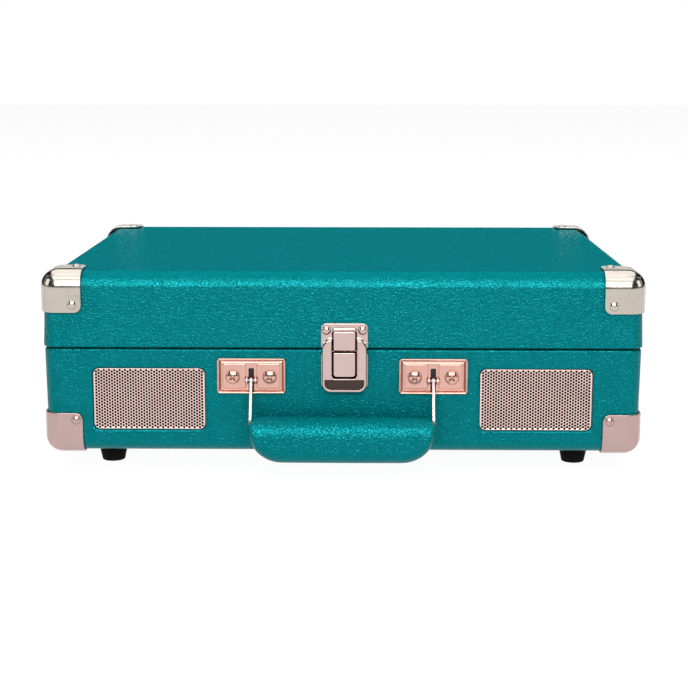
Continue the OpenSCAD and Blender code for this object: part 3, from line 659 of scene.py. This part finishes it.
def base_shell():
    verts, faces = case_shell(BASE_W, BASE_D, BASE_HIGH[Z], BASE_LOW[Z], BASE_SKIN, BASE_ROLL_R)
    verts = tucked(verts, BASE_LOW, BASE_HIGH, False, BASE_ROLL_R)
    tools = []
    for side, (low, high) in GRILLES.items():
        centre = (low + high) / 2
        outline = round_rect(*grille_size(side, OPENING_GAP), OPENING_R)
        tools.append(turned(prism(outline, CUT_BELOW, CUT_ABOVE), "-y", (centre[X], BASE_FRONT, centre[Z])))
    centre = middle("rear_panel")
    recess = prism(round_rect(*REAR_OPENING, 2.5), CUT_BELOW, CUT_ABOVE)
    tools.append(turned(recess, "+y", (centre[X], BASE_REAR, centre[Z])))
    piece("base_leatherette", carved((verts, faces), tools), "leatherette", "base", ["base_case"],
          angle=60)


def lip(width, height, radius, steps):
    """A sleeve turned into an opening: steps are (inset, height) pairs."""
    rings = [[(x, y, h) for x, y in round_rect(width - 2 * i, height - 2 * i, radius - i)] for i, h in steps]
    return loft(rings, closed_start=False, closed_end=False)


def opening_lips():
    """The leatherette turned in round each speaker opening, and round the rear recess."""
    for side, (low, high) in GRILLES.items():
        centre = (low + high) / 2
        steps = [(0.0, 0.0)]
        for a in np.radians([15, 30, 45, 60, 75, 90]):
            steps.append((LIP_R * math.sin(a), -LIP_R * (1 - math.cos(a))))
        steps.append((LIP_R, -3.0))
        part = lip(*grille_size(side, 2 * LIP_R), OPENING_R, steps)
        piece(f"speaker_lip_{side}", turned(part, "-y", (centre[X], BASE_FRONT, centre[Z])),
              "leatherette", "base", angle=80)
    centre = middle("rear_panel")
    steps = [(0.0, 0.0), (0.4, -0.1), (0.8, -0.4), (1.0, -1.0), (1.0, -WALL - 0.2)]
    part = lip(*REAR_OPENING, 2.6, steps)
    piece("rear_recess", turned(part, "+y", (centre[X], BASE_REAR, centre[Z])), "leatherette", "base",
          angle=80)


# ---- metal corners ----

def square_to_round(u, v, start):
    """Rounds the far corner of a square patch, beyond start."""
    qu, qv = u - start, v - start
    if qu <= 0 or qv <= 0:
        return u, v
    scale = max(qu, qv) / math.hypot(qu, qv)
    return start + qu * scale, start + qv * scale


def corner_patch(leg, leg_z, ball_r):
    """One metal corner in local axes: three flanges at 0, running along +X, +Y and +Z."""
    count = CAP_GRID
    parts = []
    reach = {X: leg, Y: leg, Z: leg_z}
    for normal in (X, Y, Z):
        first, second = [axis for axis in (X, Y, Z) if axis != normal]
        verts, faces = [], []
        for i in range(count + 1):
            for j in range(count + 1):
                u, v = square_to_round(leg * i / count, leg * j / count, leg - CAP_FREE_R)
                point = np.zeros(3)
                point[first], point[second] = u * reach[first] / leg, v * reach[second] / leg
                inner = np.maximum(point, ball_r)
                out = point - inner
                if (point[[first, second]] < ball_r).any():
                    point = inner + ball_r * out / np.linalg.norm(out)
                near = min(u, v) - PATCH_FROM
                point[normal] -= PATCH_RISE * (min(1.0, max(0.0, near / PATCH_SLOPE)) - 1.0)
                verts.append(point)
        for i in range(count):
            for j in range(count):
                a = i * (count + 1) + j
                faces.append((a, a + 1, a + count + 2, a + count + 1))
        parts.append((verts, faces))
    return joined(parts)


def metal_corners(node, body, slot, low, high, flat_is_top, ball_r, leg, material=None):
    """Four corners on one half of the case, from one patch."""
    cap_low, cap_high = box_mm(node)
    patch_verts, patch_faces = corner_patch(leg, cap_high[Z] - cap_low[Z], ball_r)
    for index, (name, corner, outward) in enumerate(case_corners(low, high, flat_is_top)):
        verts = corner + CAP_T * outward - patch_verts * outward
        made = piece(f"{node}_{name}", (verts, patch_faces), slot, body,
                     [node] if index == 0 else (), angle=50, material=material)
        thicken(made, CAP_SHEET)
        add_bevel(made, 0.28, 2, 50)


def dome(radius, height):
    """A rivet's domed head about +Z, with a short shank below its seat."""
    shank = 0.4
    ball = (radius ** 2 + height ** 2) / (2 * height)
    limit = math.asin(radius / ball)
    profile = [(0.0, -shank), (radius, -shank), (radius, 0.0)]
    for k in range(1, 8):
        a = limit * (1 - k / 7)
        profile.append((ball * math.sin(a), ball * math.cos(a) - ball + height))
    return lathe(profile, 28)


def corner_rivets(node, body, slot, low, high, side_z, flat_z, flat_axis, material=None):
    """Three rivet heads on each metal corner."""
    rise = CAP_T - 0.05
    head = dome(RIVET_R, RIVET_DOME)
    parts = []
    for sx in (-1, 1):
        for sy in (-1, 1):
            x = high[X] if sx > 0 else low[X]
            y = high[Y] if sy > 0 else low[Y]
            x_in, y_in = x - sx * RIVET_INSET, y - sy * RIVET_INSET
            flat_rise = rise if flat_axis == "+z" else -rise
            parts.append(turned(head, "+y" if sy > 0 else "-y", (x_in, y + sy * rise, side_z)))
            parts.append(turned(head, "+x" if sx > 0 else "-x", (x + sx * rise, y_in, side_z)))
            parts.append(turned(head, flat_axis, (x_in, y_in, flat_z + flat_rise)))
    piece(f"{node}_heads", parts, slot, body, [node], angle=50, material=material)


# ---- speakers ----

def perforated_sheet(width, height, radius, pitch, hole_r):
    """A flat sheet in XY with a hexagonal field of round holes; its thickness is added by the caller."""
    outline = round_rect(width, height, radius, 6)
    points = [Vector(p) for p in outline]
    loops = [list(range(len(points)))]
    column = pitch * math.sin(math.radians(60))
    columns = int(width / column) + 1
    rows = int(height / pitch) + 2
    margin = hole_r + HOLE_MARGIN
    for i in range(-columns // 2, columns // 2 + 1):
        for j in range(-rows // 2, rows // 2 + 1):
            x, y = i * column, (j + (0.5 if i % 2 else 0.0)) * pitch
            if abs(x) > width / 2 - margin or abs(y) > height / 2 - margin:
                continue
            corner = np.array([abs(x) - (width / 2 - radius), abs(y) - (height / 2 - radius)])
            if (corner > 0).all() and np.linalg.norm(corner) > radius - margin:
                continue
            start = len(points)
            points += [Vector(p) for p in arc((x, y), hole_r, 0, 360, HOLE_SIDES)[:-1]]
            loops.append(list(range(start, start + HOLE_SIDES)))
    edges = [(loop[k], loop[(k + 1) % len(loop)]) for loop in loops for k in range(len(loop))]
    flat, _, faces, _, _, _ = delaunay_2d_cdt(points, edges, [], 0, 1e-5)
    holes = np.array([np.mean([points[i][:] for i in loop], axis=0) for loop in loops[1:]])
    flat = np.array([v[:] for v in flat])
    centres = np.array([flat[list(face)].mean(axis=0) for face in faces])
    nearest = np.full(len(centres), 1e9)
    for chunk in np.array_split(np.arange(len(centres)), max(1, len(centres) // 4000)):
        gap = np.linalg.norm(centres[chunk][:, None] - holes[None], axis=2)
        nearest[chunk] = gap.min(axis=1)
    inside = nearest > hole_r * 0.97
    kept = [face for face, keep in zip(faces, inside) if keep]
    return [(x, y, 0.0) for x, y in flat], kept


def speaker(side):
    """A perforated grille with a dark cloth behind it."""
    low, high = GRILLES[side]
    centre = (low + high) / 2
    sheet = perforated_sheet(*grille_size(side, -SHEET_GAP), SHEET_R, HOLE_PITCH, HOLE_R)
    made = piece(f"grille_{side}", turned(sheet, "-y", (centre[X], BASE_FRONT + SHEET_BACK, centre[Z])),
                 "grille_metal", "base", [f"speaker_grille_{side}"], angle=30)
    thicken(made, SHEET_T)
    cloth = prism(round_rect(*grille_size(side, CLOTH_OVER), 4.0), 0.0, 0.3)
    piece(f"grille_cloth_{side}", turned(cloth, "-y", (centre[X], BASE_FRONT + CLOTH_BACK, centre[Z])),
          "paper_cone", "base", material=CLOTH_AND_SHADOW_BLACK)


# ---- fittings on the front ----

def pan_head(radius, height, turn):
    """A pan-head screw with a cross recess, its seat at 0."""
    profile = [(0.0, -0.4), (radius, -0.4), (radius, 0.35)]
    for a in np.radians([20, 40, 60, 75]):
        profile.append((radius * math.cos(a) ** 0.8, 0.35 + (height - 0.35) * math.sin(a)))
    profile.append((0.0, height))
    spin = Matrix.Rotation(math.radians(turn), 3, "Z")
    slots = []
    for quarter in (0.0, 90.0):
        half = 0.55 * radius
        width = 0.13 * radius
        outline = [(-half, -width), (half, -width), (half, width), (-half, width)]
        verts, faces = prism(outline, height * 0.25, height + 1)
        across = spin @ Matrix.Rotation(math.radians(quarter), 3, "Z")
        slots.append((np.asarray(verts) @ np.array(across).T, faces))
    return carved(carved(lathe(profile, 32), slots[0]), slots[1])


def bracket(side, screw):
    """A stamped plate with a rolled rim, a pressed panel each side of the strap's slot, and curled ears."""
    name = "left" if side < 0 else "right"
    node = f"handle_bracket_{name}"
    low, high = box_mm(node)
    x = (low[X] + high[X]) / 2
    width, height = high[X] - low[X], high[Z] - low[Z]
    seat = BASE_FRONT
    rim = [(0.0, 0.0), (0.0, 1.3), (0.25, 1.8), (0.7, 2.05), (1.15, 1.9), (1.5, 1.3), (1.75, 0.75),
           (2.0, 0.75), (2.5, 1.2), (2.9, PANEL_H)]
    plate = stepped(lambda inset: round_rect(width - 2 * inset, height - 2 * inset,
                                             max(1.8 - inset, 0.7), 4), rim)
    slot = prism(round_rect(3.2, 14.0, 0.6, 3, (0.0, SLOT_DOWN)), -1, 4)
    pieces = [carved(plate, slot)]
    for sx in (-1, 1):
        pad = stepped(lambda inset: round_rect(13.4 - 2 * inset, 14.4 - 2 * inset, 0.9, 4,
                                               (sx * PANEL_X, 0.0)),
                      [(0.0, PANEL_H - 0.2), (0.0, PANEL_H + 0.15), (0.35, PANEL_H + 0.4)])
        pieces.append(pad)
    parts = [turned(part, "-y", (x, seat, BRACKET_Z)) for part in pieces]
    # Painted shadow: a black sheet behind the strap's slot stands in for the shade in the channel there.
    back = prism(round_rect(5.0, 15.4, 0.8, 3, (0.0, SLOT_DOWN)), 0.02, 0.3)
    piece(node + "_slot_shadow", turned(back, "-y", (x, seat, BRACKET_Z)), "black_plastic", "base")
    ear = [(0.62, -0.85), (1.6, -0.85), (2.05, -0.45), (2.1, 0.0), (2.05, 0.45), (1.6, 0.85), (0.62, 0.85)]
    for sx in (-1, 1):
        parts.append(turned(ring_lathe(ear, 28), "+x", (x + sx * 2.55, HANDLE_PIVOT[Y], HANDLE_PIVOT[Z])))
    piece(node + "_plate", parts, "rose_metal", "base", [node], angle=40)
    for sx in (-1, 1):
        head = turned(screw, "-y", (x + sx * SCREW_X, seat - PANEL_H - 0.35, HANDLE_PIVOT[Z] + SCREW_UP))
        piece(f"bracket_screw_{name}_{'a' if sx < 0 else 'b'}", head, "rose_metal", "base",
              ["bracket_screws"] if side < 0 and sx < 0 else (), angle=40)


def strap_outline():
    """Side view of a strap in (y, z): a round eye, then a flat tongue down into the grip."""
    y, z = HANDLE_PIVOT[Y], HANDLE_PIVOT[Z]
    eye = arc((y, z), 1.95, 8, 188, 12)
    foot_y = y - 8.6
    return eye + [(foot_y - 3.6, 33.0), (foot_y - 3.75, 26.4), (foot_y + 3.6, 26.4), (foot_y + 3.75, 33.0)]


def straps():
    """The two flat straps that carry the grip."""
    parts = []
    for side in (-1, 1):
        rings = [[(side * STRAP_X + dx, y, z) for y, z in strap_outline()] for dx in (-0.85, 0.85)]
        parts.append(loft(rings))
    piece("handle_strap_pair", parts, "rose_metal", "handle", ["handle_straps"], bevel=0.25, segments=3,
          angle=25, material=PALE_ROSE)


def grip_ring(x, half, low, high):
    """One section of the padded grip at x."""
    end_r, corner_r = 4.0, 19.0
    into_end = max(0.0, abs(x) - (half - end_r))
    pull = end_r - math.sqrt(max(end_r ** 2 - into_end ** 2, 0.0))
    into_corner = max(0.0, abs(x) - (half - corner_r))
    foot = low[Z] + 0.93 * (corner_r - math.sqrt(max(corner_r ** 2 - into_corner ** 2, 0.0)))
    back, front = high[Y] - 0.8 * pull, low[Y] + pull
    top = high[Z] - 0.75 * pull
    foot = min(foot + 0.4 * pull, top - 3.0)
    tall, deep = top - foot, back - front
    sizes = (7.5, 5.0, 5.0, 10.0)
    limit = min(tall / 2.02, deep / 2.02)
    radii = [min(r, limit) for r in sizes]
    if radii[0] + radii[3] > tall:
        radii = [r * tall / (radii[0] + radii[3]) * 0.99 for r in radii]
    outline = round_rect(deep, tall, radii, 9, ((back + front) / 2, (top + foot) / 2))
    swell = 0.35 * math.cos(math.pi * x / (2 * half))
    centre_y, centre_z = (back + front) / 2, (top + foot) / 2
    return [(x, centre_y + (y - centre_y) * (1 + swell / deep),
             centre_z + (z - centre_z) * (1 + swell / tall)) for y, z in outline]


def grip():
    """The padded grip, lofted from sections that stand closer together towards its ends."""
    low, high = box_mm("handle_grip")
    half = (high[X] - low[X]) / 2 - 0.6
    from_end = (0.0, 0.15, 0.6, 1.3, 2.2, 3.2, 4.2, 5.4, 6.8, 8.4, 10.2, 12.2, 14.4, 16.8)
    near = [-half + end for end in from_end]
    spots = near + list(np.linspace(-half + 19.5, half - 19.5, 16)) + [-x for x in reversed(near)]
    made = piece("grip_padding", loft([grip_ring(x, half, low, high) for x in spots]), "grip_leatherette",
                 "handle", ["handle_grip"], angle=70)


def edge_outline(width, height, low_r, high_r, foot):
    """Outline that stands on foot, with one radius for its lower corners and one for its upper ones."""
    return round_rect(width, height, [low_r, low_r, high_r, high_r], 7, (0.0, foot + height / 2))


def latch():
    """The toggle latch: base plate and block, catch plate and tongue on the lid, and the framed lever."""
    x = middle("latch_lever")[X]

    def on(seat_y, part):
        return turned(part, "-y", (x, seat_y, 0.0))

    def stamped(width, tall, low_r, high_r, foot, steps):
        return stepped(lambda inset: edge_outline(width - 2 * inset, tall - 2 * inset,
                                                  max(low_r - inset, 0.2), max(high_r - inset, 0.2),
                                                  foot + inset), steps)

    seat = BASE_FRONT
    rise = seat - box_mm("latch_plate")[0][Y] - 0.1
    plate = stamped(27.5, 23.4, 4.0, 4.0, 47.9, [(0.0, 0.0), (0.0, 0.5), (0.35, 0.85)])
    raised = stamped(BLOCK_W, 14.3, 1.8, 0.7, 56.4,
                     [(0.0, 0.4), (0.0, rise - 0.6), (0.2, rise - 0.15), (0.6, rise)])
    piece("latch_base_plate", [on(seat, plate), on(seat, raised)], "rose_metal", "base", ["latch_plate"],
          angle=30, material=PALE_ROSE)
    # Painted shadow: a black sheet in the window round the block, where there is only shade.
    dark = prism(edge_outline(16.4, 15.9, 2.8, 0.3, 54.9), 0.86, 1.2)
    piece("latch_plate_shadow", on(seat, dark), "black_plastic", "base", material=CLOTH_AND_SHADOW_BLACK)

    seat = LID_FRONT
    rise = seat - box_mm("latch_catch")[0][Y]
    plate = stamped(27.2, 14.6, 0.4, 3.0, 72.95, [(0.0, 0.0), (0.0, 0.45), (0.4, 0.8)])
    tongue = stamped(BLOCK_W, 11.1, 0.5, 1.0, 71.9,
                     [(0.0, 1.9), (0.0, rise - 0.6), (0.2, rise - 0.2), (0.6, rise)])
    brow = stamped(13.6, 2.4, 0.3, 0.9, 82.5, [(0.0, 0.4), (0.0, 1.3), (0.3, 1.9), (0.8, 2.1)])
    root = prism(edge_outline(12.2, 9.0, 0.3, 0.3, 73.4), 0.4, 2.6)
    piece("latch_catch_plate", [on(seat, part) for part in (plate, tongue, brow, root)], "rose_metal", "lid",
          ["latch_catch"], angle=30, material=PALE_ROSE)
    # Painted shadow: a black sheet round the tongue, where there is only shade.
    dark = prism(edge_outline(14.6, 9.6, 0.3, 0.8, 73.1), 0.78, 0.9)
    piece("latch_catch_shadow", on(seat, dark), "black_plastic", "lid", material=CLOTH_AND_SHADOW_BLACK)
    heads = [turned(dome(2.75, 1.35), "-y", (x + sx * LATCH_RIVET_X, seat - 0.75, LATCH_RIVET_Z))
             for sx in (-1, 1)]
    piece("catch_rivet_heads", heads, "rose_metal", "lid", ["catch_rivets"], angle=50, material=PALE_ROSE)

    low, high = box_mm("latch_lever")
    back = high[Y]
    thick = back - low[Y]
    foot = low[Z]
    lever = stamped(26.0, high[Z] - foot, 5.0, 6.0, foot,
                    [(0.0, 0.3), (0.0, thick - 1.2), (0.15, thick - 0.6), (0.5, thick - 0.2), (1.1, thick)])
    window = stamped(14.6, 40.0, 2.4, 0.5, 55.4,
                     [(0.0, -2.0), (0.0, thick - 0.5), (-0.45, thick), (-0.45, 9.0)])
    band = edge_outline(23.2, 6.0, 3.9, 0.4, foot + 1.6)
    lever = carved(carved(lever, window), prism(band, thick - 0.7, 9.0))
    pivot_y, pivot_z = LATCH_PIVOT[Y], LATCH_PIVOT[Z]
    verts, faces = on(back, lever)
    behind = (verts[:, Z] > pivot_z) & (verts[:, Y] > pivot_y)
    arm = verts[behind][:, 1:] - [pivot_y, pivot_z]
    reach = np.linalg.norm(arm, axis=1, keepdims=True)
    verts[behind, 1:] = arm * np.minimum(1.0, PIVOT_CLEAR / np.maximum(reach, 1e-6)) + [pivot_y, pivot_z]
    piece("latch_lever_frame", (verts, faces), "rose_metal", "latch", ["latch_lever"], bevel=0.12,
          segments=1, angle=30, material=PALE_ROSE)
    # Painted shade: a dark layer in the finger scoop stands in for the dark that it reflects.
    shade_band = prism(edge_outline(23.1, 5.9, 3.85, 0.4, foot + 1.65), thick - 0.75, thick - 0.45)
    piece("latch_finger_shade", on(back, shade_band), "rose_metal", "latch", material=SHADED_ROSE)


def feet():
    """Four tapered rubber feet with a screw hole in each."""
    high = box_mm("rubber_feet")[1]
    spots = [(sx * (high[X] - FOOT_INSET), Y_MID + sy * (high[Y] - Y_MID - FOOT_INSET))
             for sx in (-1, 1) for sy in (-1, 1)]
    height = high[Z]
    profile = [(3.2, 0.8), (3.5, 0.0), (6.4, 0.0), (6.9, 0.5), (7.0, 1.4), (8.7, height - 0.4),
               (8.7, height), (2.0, height), (2.0, 5.0), (3.2, 5.0)]
    parts = [turned(ring_lathe(profile, 48), "+z", (x, y, 0.0)) for x, y in spots]
    piece("rubber_foot_set", parts, "black_rubber", "base", ["rubber_feet"], angle=40)


# ---- deck ----

def about(centre, part, angle):
    """Turns a part by an angle about a vertical axis through centre."""
    verts, faces = part
    spin = np.array(Matrix.Rotation(angle, 3, "Z"))
    return np.asarray(verts) @ spin.T + [centre[X], centre[Y], 0], faces


def platter():
    """The platter with its printed rim marks, and the ridged slip mat on it."""
    low, high = box_mm("platter")
    centre = middle("platter")
    outer = (high - low)[X] / 2
    top = high[Z]
    rim = [(88.0, top - 7.2), (outer - 0.6, top - 7.8), (outer, top - 7.0), (outer, top - 1.4),
           (outer - 0.5, top - 0.5), (outer - 1.6, top), (outer - 3.4, top - 0.1), (outer - 4.0, top - 0.7),
           (9.0, top - 0.7), (4.0, top - 0.7), (4.0, top - 3.0), (88.0, top - 3.0)]
    piece("platter_rim", turned(ring_lathe(rim, 128), "+z", (centre[X], centre[Y], 0)), "platter_steel",
          "platter", ["platter"], angle=30)
    dot = block((outer - 0.1, -1.1, top - 5.6), (outer + 0.12, 1.1, top - 3.4))
    dots = [about(centre, dot, 2 * math.pi * k / RIM_MARKS) for k in range(RIM_MARKS)]
    piece("platter_rim_marks", dots, "platter_steel", "platter", angle=30, material=PRINT)
    low, high = box_mm("slip_mat")
    mat_r, top = (high[X] - low[X]) / 2, high[Z]
    profile = [(4.0, low[Z]), (mat_r - 0.4, low[Z]), (mat_r, low[Z] + 0.5), (mat_r - 0.3, top - 0.2)]
    profile.append((mat_r - 1.2, top))
    for band_end, band_start in ((72.0, 90.0), (56.0, 69.0), (24.0, 53.0)):
        radius = band_start
        while radius > band_end:
            profile += [(radius, top), (radius - 0.35, top - 0.45), (radius - 0.95, top - 0.45),
                        (radius - 1.3, top)]
            radius -= 2.0
    profile += [(21.0, top), (20.5, top - 0.4), (4.6, top - 0.4), (4.0, top - 0.8)]
    piece("slip_mat_ridged", turned(ring_lathe(profile, 128), "+z", (centre[X], centre[Y], 0)), "felt",
          "platter", ["slip_mat"], angle=30, material=MAT_RUBBER)


def fluted_knob(radius, low, high, flutes, depth):
    """A knob with a fluted skirt and a dished top."""
    steps = [(0.0, 0.0), (0.0, 0.8), (1.0, 1.0), (1.0, high - low - 1.2), (1.5, high - low - 0.4),
             (2.4, high - low), (radius - 3.0, high - low - 0.5)]
    rings = []
    for inset, z in steps:
        ring = []
        for k in range(flutes * 4):
            a = 2 * math.pi * k / (flutes * 4)
            wave = depth * (0.5 + 0.5 * math.cos(flutes * a)) if 0.9 < inset < 1.6 else 0.0
            r = max(radius - inset - wave, 0.5)
            ring.append((r * math.cos(a), r * math.sin(a), z))
        rings.append(ring)
    verts, faces = loft(rings)
    return np.asarray(verts) + [0, 0, low], faces


def knobs():
    """The volume knob and the line on it."""
    low, high = box_mm("volume_knob")
    centre = (low + high) / 2
    radius = (high[X] - low[X]) / 2
    foot = low[Z] if low[Z] > DECK_TOP else DECK_TOP + 0.4
    part = fluted_knob(radius, foot, high[Z], 30, 0.7)
    piece("volume_knob_cap", turned(part, "+z", (centre[X], centre[Y], 0)), "gloss_black", "knob",
          ["volume_knob"], angle=35)
    mark = block((centre[X] - 0.5, centre[Y] + radius - 7.4, high[Z] - 0.7),
                 (centre[X] + 0.5, centre[Y] + radius - 2.6, high[Z] + 0.05))
    piece("volume_knob_mark", mark, "gloss_black", "knob", material=PRINT)


NUMBER_SIZE = 4.2
NUMBER_DEPTH = 0.03
NUMBER_REACH = 15


def number(text, place, name):
    """A short generic number printed on the deck."""
    curve = bpy.data.curves.new(name + "_curve", "FONT")
    curve.body = text
    curve.size = NUMBER_SIZE * MM
    curve.extrude = NUMBER_DEPTH * MM
    curve.align_x = "CENTER"
    curve.align_y = "CENTER"
    source = in_scene(name + "_source", curve)
    mesh = evaluated_mesh(source)
    bpy.data.objects.remove(source)
    bpy.data.curves.remove(curve)
    mesh.transform(Matrix.Translation(Vector(place) * MM))
    made = in_scene(name, mesh)
    mesh.materials.clear()
    mesh.materials.append(PRINT)
    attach(made, "base")


def deck_marks():
    """Speed numbers round the selector and ticks round the volume knob."""
    centre = middle("speed_selector")
    for text, angle in (("33", 90), ("45", 60), ("78", 30)):
        a = math.radians(angle)
        place = (centre[X] + NUMBER_REACH * math.cos(a), centre[Y] + NUMBER_REACH * math.sin(a),
                 DECK_TOP + 0.04)
        number(text, place, f"speed_mark_{text}")
    centre = middle("volume_knob")
    ticks = []
    for k in range(VOLUME_TICKS):
        length = 2.6 if k % 5 == 0 else 1.6
        tick = block((TICK_FROM, -0.25, DECK_TOP + 0.01), (TICK_FROM + length, 0.25, DECK_TOP + 0.06))
        ticks.append(about(centre, tick, math.radians(-50 + 28 * k)))
    piece("volume_scale", ticks, "grey_plastic", "base", material=PRINT)


# ---- stage, light and camera ----

def even_normals():
    """Lets large flat faces keep their own normals beside the small rounds that edge them."""
    for made in PIECES:
        even = made.modifiers.new("normals", "WEIGHTED_NORMAL")
        even.keep_sharp = True
        even.weight = 90


def stage():
    """A pale floor that glows, so that it reads white and fills the plating's reflections."""
    floor_material = Shader("floor")
    floor_material.set(Base_Color=(FLOOR_TONE,) * 3, Roughness=0.8, Specular_IOR_Level=0.0,
                       Emission_Color=(1.0, 1.0, 1.0), Emission_Strength=FLOOR_GLOW)
    mesh = bpy.data.meshes.new("floor")
    half = FLOOR_HALF
    mesh.from_pydata([(-half, -half, 0), (half, -half, 0), (half, half, 0), (-half, half, 0)], [],
                     [(0, 1, 2, 3)])
    floor = in_scene("floor", mesh)
    mesh.materials.append(floor_material.material)


def world():
    """White to the camera, dim to the object, so that plating has dark as well as light to reflect."""
    made = bpy.data.worlds.new("studio")
    bpy.context.scene.world = made
    made.use_nodes = True
    tree = made.node_tree
    tree.nodes.clear()
    path = tree.nodes.new("ShaderNodeLightPath")
    mix = tree.nodes.new("ShaderNodeMixShader")
    out = tree.nodes.new("ShaderNodeOutputWorld")
    tree.links.new(path.outputs["Is Camera Ray"], mix.inputs["Fac"])
    for socket, strength in ((1, ROOM_LIGHT), (2, 1.0)):
        backdrop = tree.nodes.new("ShaderNodeBackground")
        backdrop.inputs["Color"].default_value = (1.0, 1.0, 1.0, 1.0)
        backdrop.inputs["Strength"].default_value = strength
        tree.links.new(backdrop.outputs[0], mix.inputs[socket])
    tree.links.new(mix.outputs[0], out.inputs["Surface"])


def things(name, plated):
    """A collection of everything that is plated metal, or isn't, for a light that only it needs."""
    group = bpy.data.collections.new(name)
    for made in PIECES + list(frame["nodes"].values()):
        bsdf = made.data.materials[0].node_tree.nodes["Principled BSDF"]
        if (bsdf.inputs["Metallic"].default_value > 0.5) == plated:
            group.objects.link(made)
    return group


def softbox(name, place, target, size, radiance, receivers=None, glossy=True, diffuse=True):
    """An area light in metres, which some things, sheen or diffuse light may be kept out of."""
    light = bpy.data.lights.new(name, "AREA")
    light.shape = "RECTANGLE"
    light.size, light.size_y = size
    light.energy = radiance * math.pi * size[0] * size[1]
    made = in_scene(name, light)
    made.location = place
    made.rotation_euler = (Vector(target) - Vector(place)).to_track_quat("-Z", "Y").to_euler()
    made.visible_camera = False
    made.visible_glossy = glossy
    made.visible_diffuse = diffuse
    if receivers:
        made.light_linking.receiver_collection = receivers


def lights():
    """A wide softbox in front and one overhead, weak ones at the sides, and glints for each finish."""
    aim = (0.0, 0.0, 0.06)
    front = (0.0, -2.0, 0.95)
    plating = things("plated_things", True)
    pebbles = things("unplated_things", False)
    ceiling = (0.0, 0.7, 2.4)
    under_ceiling = (0.0, 0.4, 0.0)
    softbox("front", front, aim, (2.6, 0.4), FRONT_LIGHT, glossy=False)
    softbox("front_shine", front, aim, (2.6, 0.4), FRONT_LIGHT, plating, diffuse=False)
    softbox("front_high", (0.0, -1.6, 1.7), aim, (2.6, 1.0), FRONT_HIGH_LIGHT)
    softbox("overhead", ceiling, under_ceiling, (3.6, 3.0), OVERHEAD_LIGHT, glossy=False)
    softbox("front_glint", (0.0, -2.0, 0.98), aim, (1.8, 0.9), FRONT_GLINT, plating, diffuse=False)
    softbox("pebble_glint", (0.0, -1.75, 1.4), aim, (2.2, 1.2), PEBBLE_LIGHT, pebbles, diffuse=False)
    softbox("overhead_glint", (0.0, 0.2, 2.4), (0.0, 0.2, 0.0), (3.6, 4.0), OVERHEAD_GLINT, plating)
    softbox("left", (-2.3, -0.6, 0.9), aim, (1.0, 1.2), SIDE_LIGHT)
    softbox("right", (2.3, -0.6, 0.9), aim, (1.0, 1.2), SIDE_LIGHT)
    softbox("back_glint", (0.0, 2.6, 0.8), aim, (3.4, 1.2), BACK_GLINT, plating)


# Camera: place in millimetres, turns in radians and lens, as fitted to the photograph.
CAMERA_PLACE = (13.75, -1014.5, 236.8)
CAMERA_DOWN = 0.1795
CAMERA_LEFT = 0.0143
CAMERA_ROLL = 0.00065
LENS_MM = 81.08


def camera():
    """The photograph's own viewpoint."""
    data = bpy.data.cameras.new("camera")
    data.lens = LENS_MM
    data.sensor_width = 36.0
    data.clip_end = 30.0
    made = in_scene("camera", data)
    turn = Matrix.Rotation(CAMERA_LEFT, 4, "Z") @ Matrix.Rotation(math.pi / 2 - CAMERA_DOWN, 4, "X")
    turn = turn @ Matrix.Rotation(CAMERA_ROLL, 4, "Z")
    made.matrix_world = Matrix.Translation(Vector(CAMERA_PLACE) * MM) @ turn
    bpy.context.scene.camera = made


ARM_NODES = ("tonearm", "tonearm_gimbal", "cue_lever")


def cad_nodes():
    """Gives every CAD node that stays in view its own material."""
    for name, made in frame["nodes"].items():
        made.data.materials.clear()
        made.data.materials.append(ARM_PLASTIC if name in ARM_NODES else MATERIALS[SLOT_OF[name]])


camera()
cad_nodes()
lid_shell()
base_shell()
opening_lips()
# The base's corners and rivets take the darker copy of the rose plating: painted shade.
metal_corners("base_corners", "base", "rose_metal", BASE_LOW, BASE_HIGH, False, BASE_CAP_BALL,
              BASE_CAP_LEG, LOW_SHADED_ROSE)
metal_corners("lid_corners", "lid", "warm_nickel", LID_LOW, LID_HIGH, True, LID_CAP_BALL, LID_CAP_LEG)
corner_rivets("base_corner_rivets", "base", "rose_metal", BASE_LOW, BASE_HIGH,
              BASE_LOW[Z] + BASE_RIVET_UP, BASE_LOW[Z], "-z", LOW_SHADED_ROSE)
corner_rivets("lid_corner_rivets", "lid", "warm_nickel", LID_LOW, LID_HIGH,
              LID_HIGH[Z] - LID_RIVET_DOWN, LID_HIGH[Z], "+z")
speaker("left")
speaker("right")
bracket_screw = pan_head(3.95, 1.9, 40.0)
bracket(-1, bracket_screw)
bracket(1, bracket_screw)
straps()
grip()
latch()
feet()
platter()
knobs()
deck_marks()
even_normals()
stage()
world()
lights()

bpy.context.scene.view_settings.view_transform = "Standard"
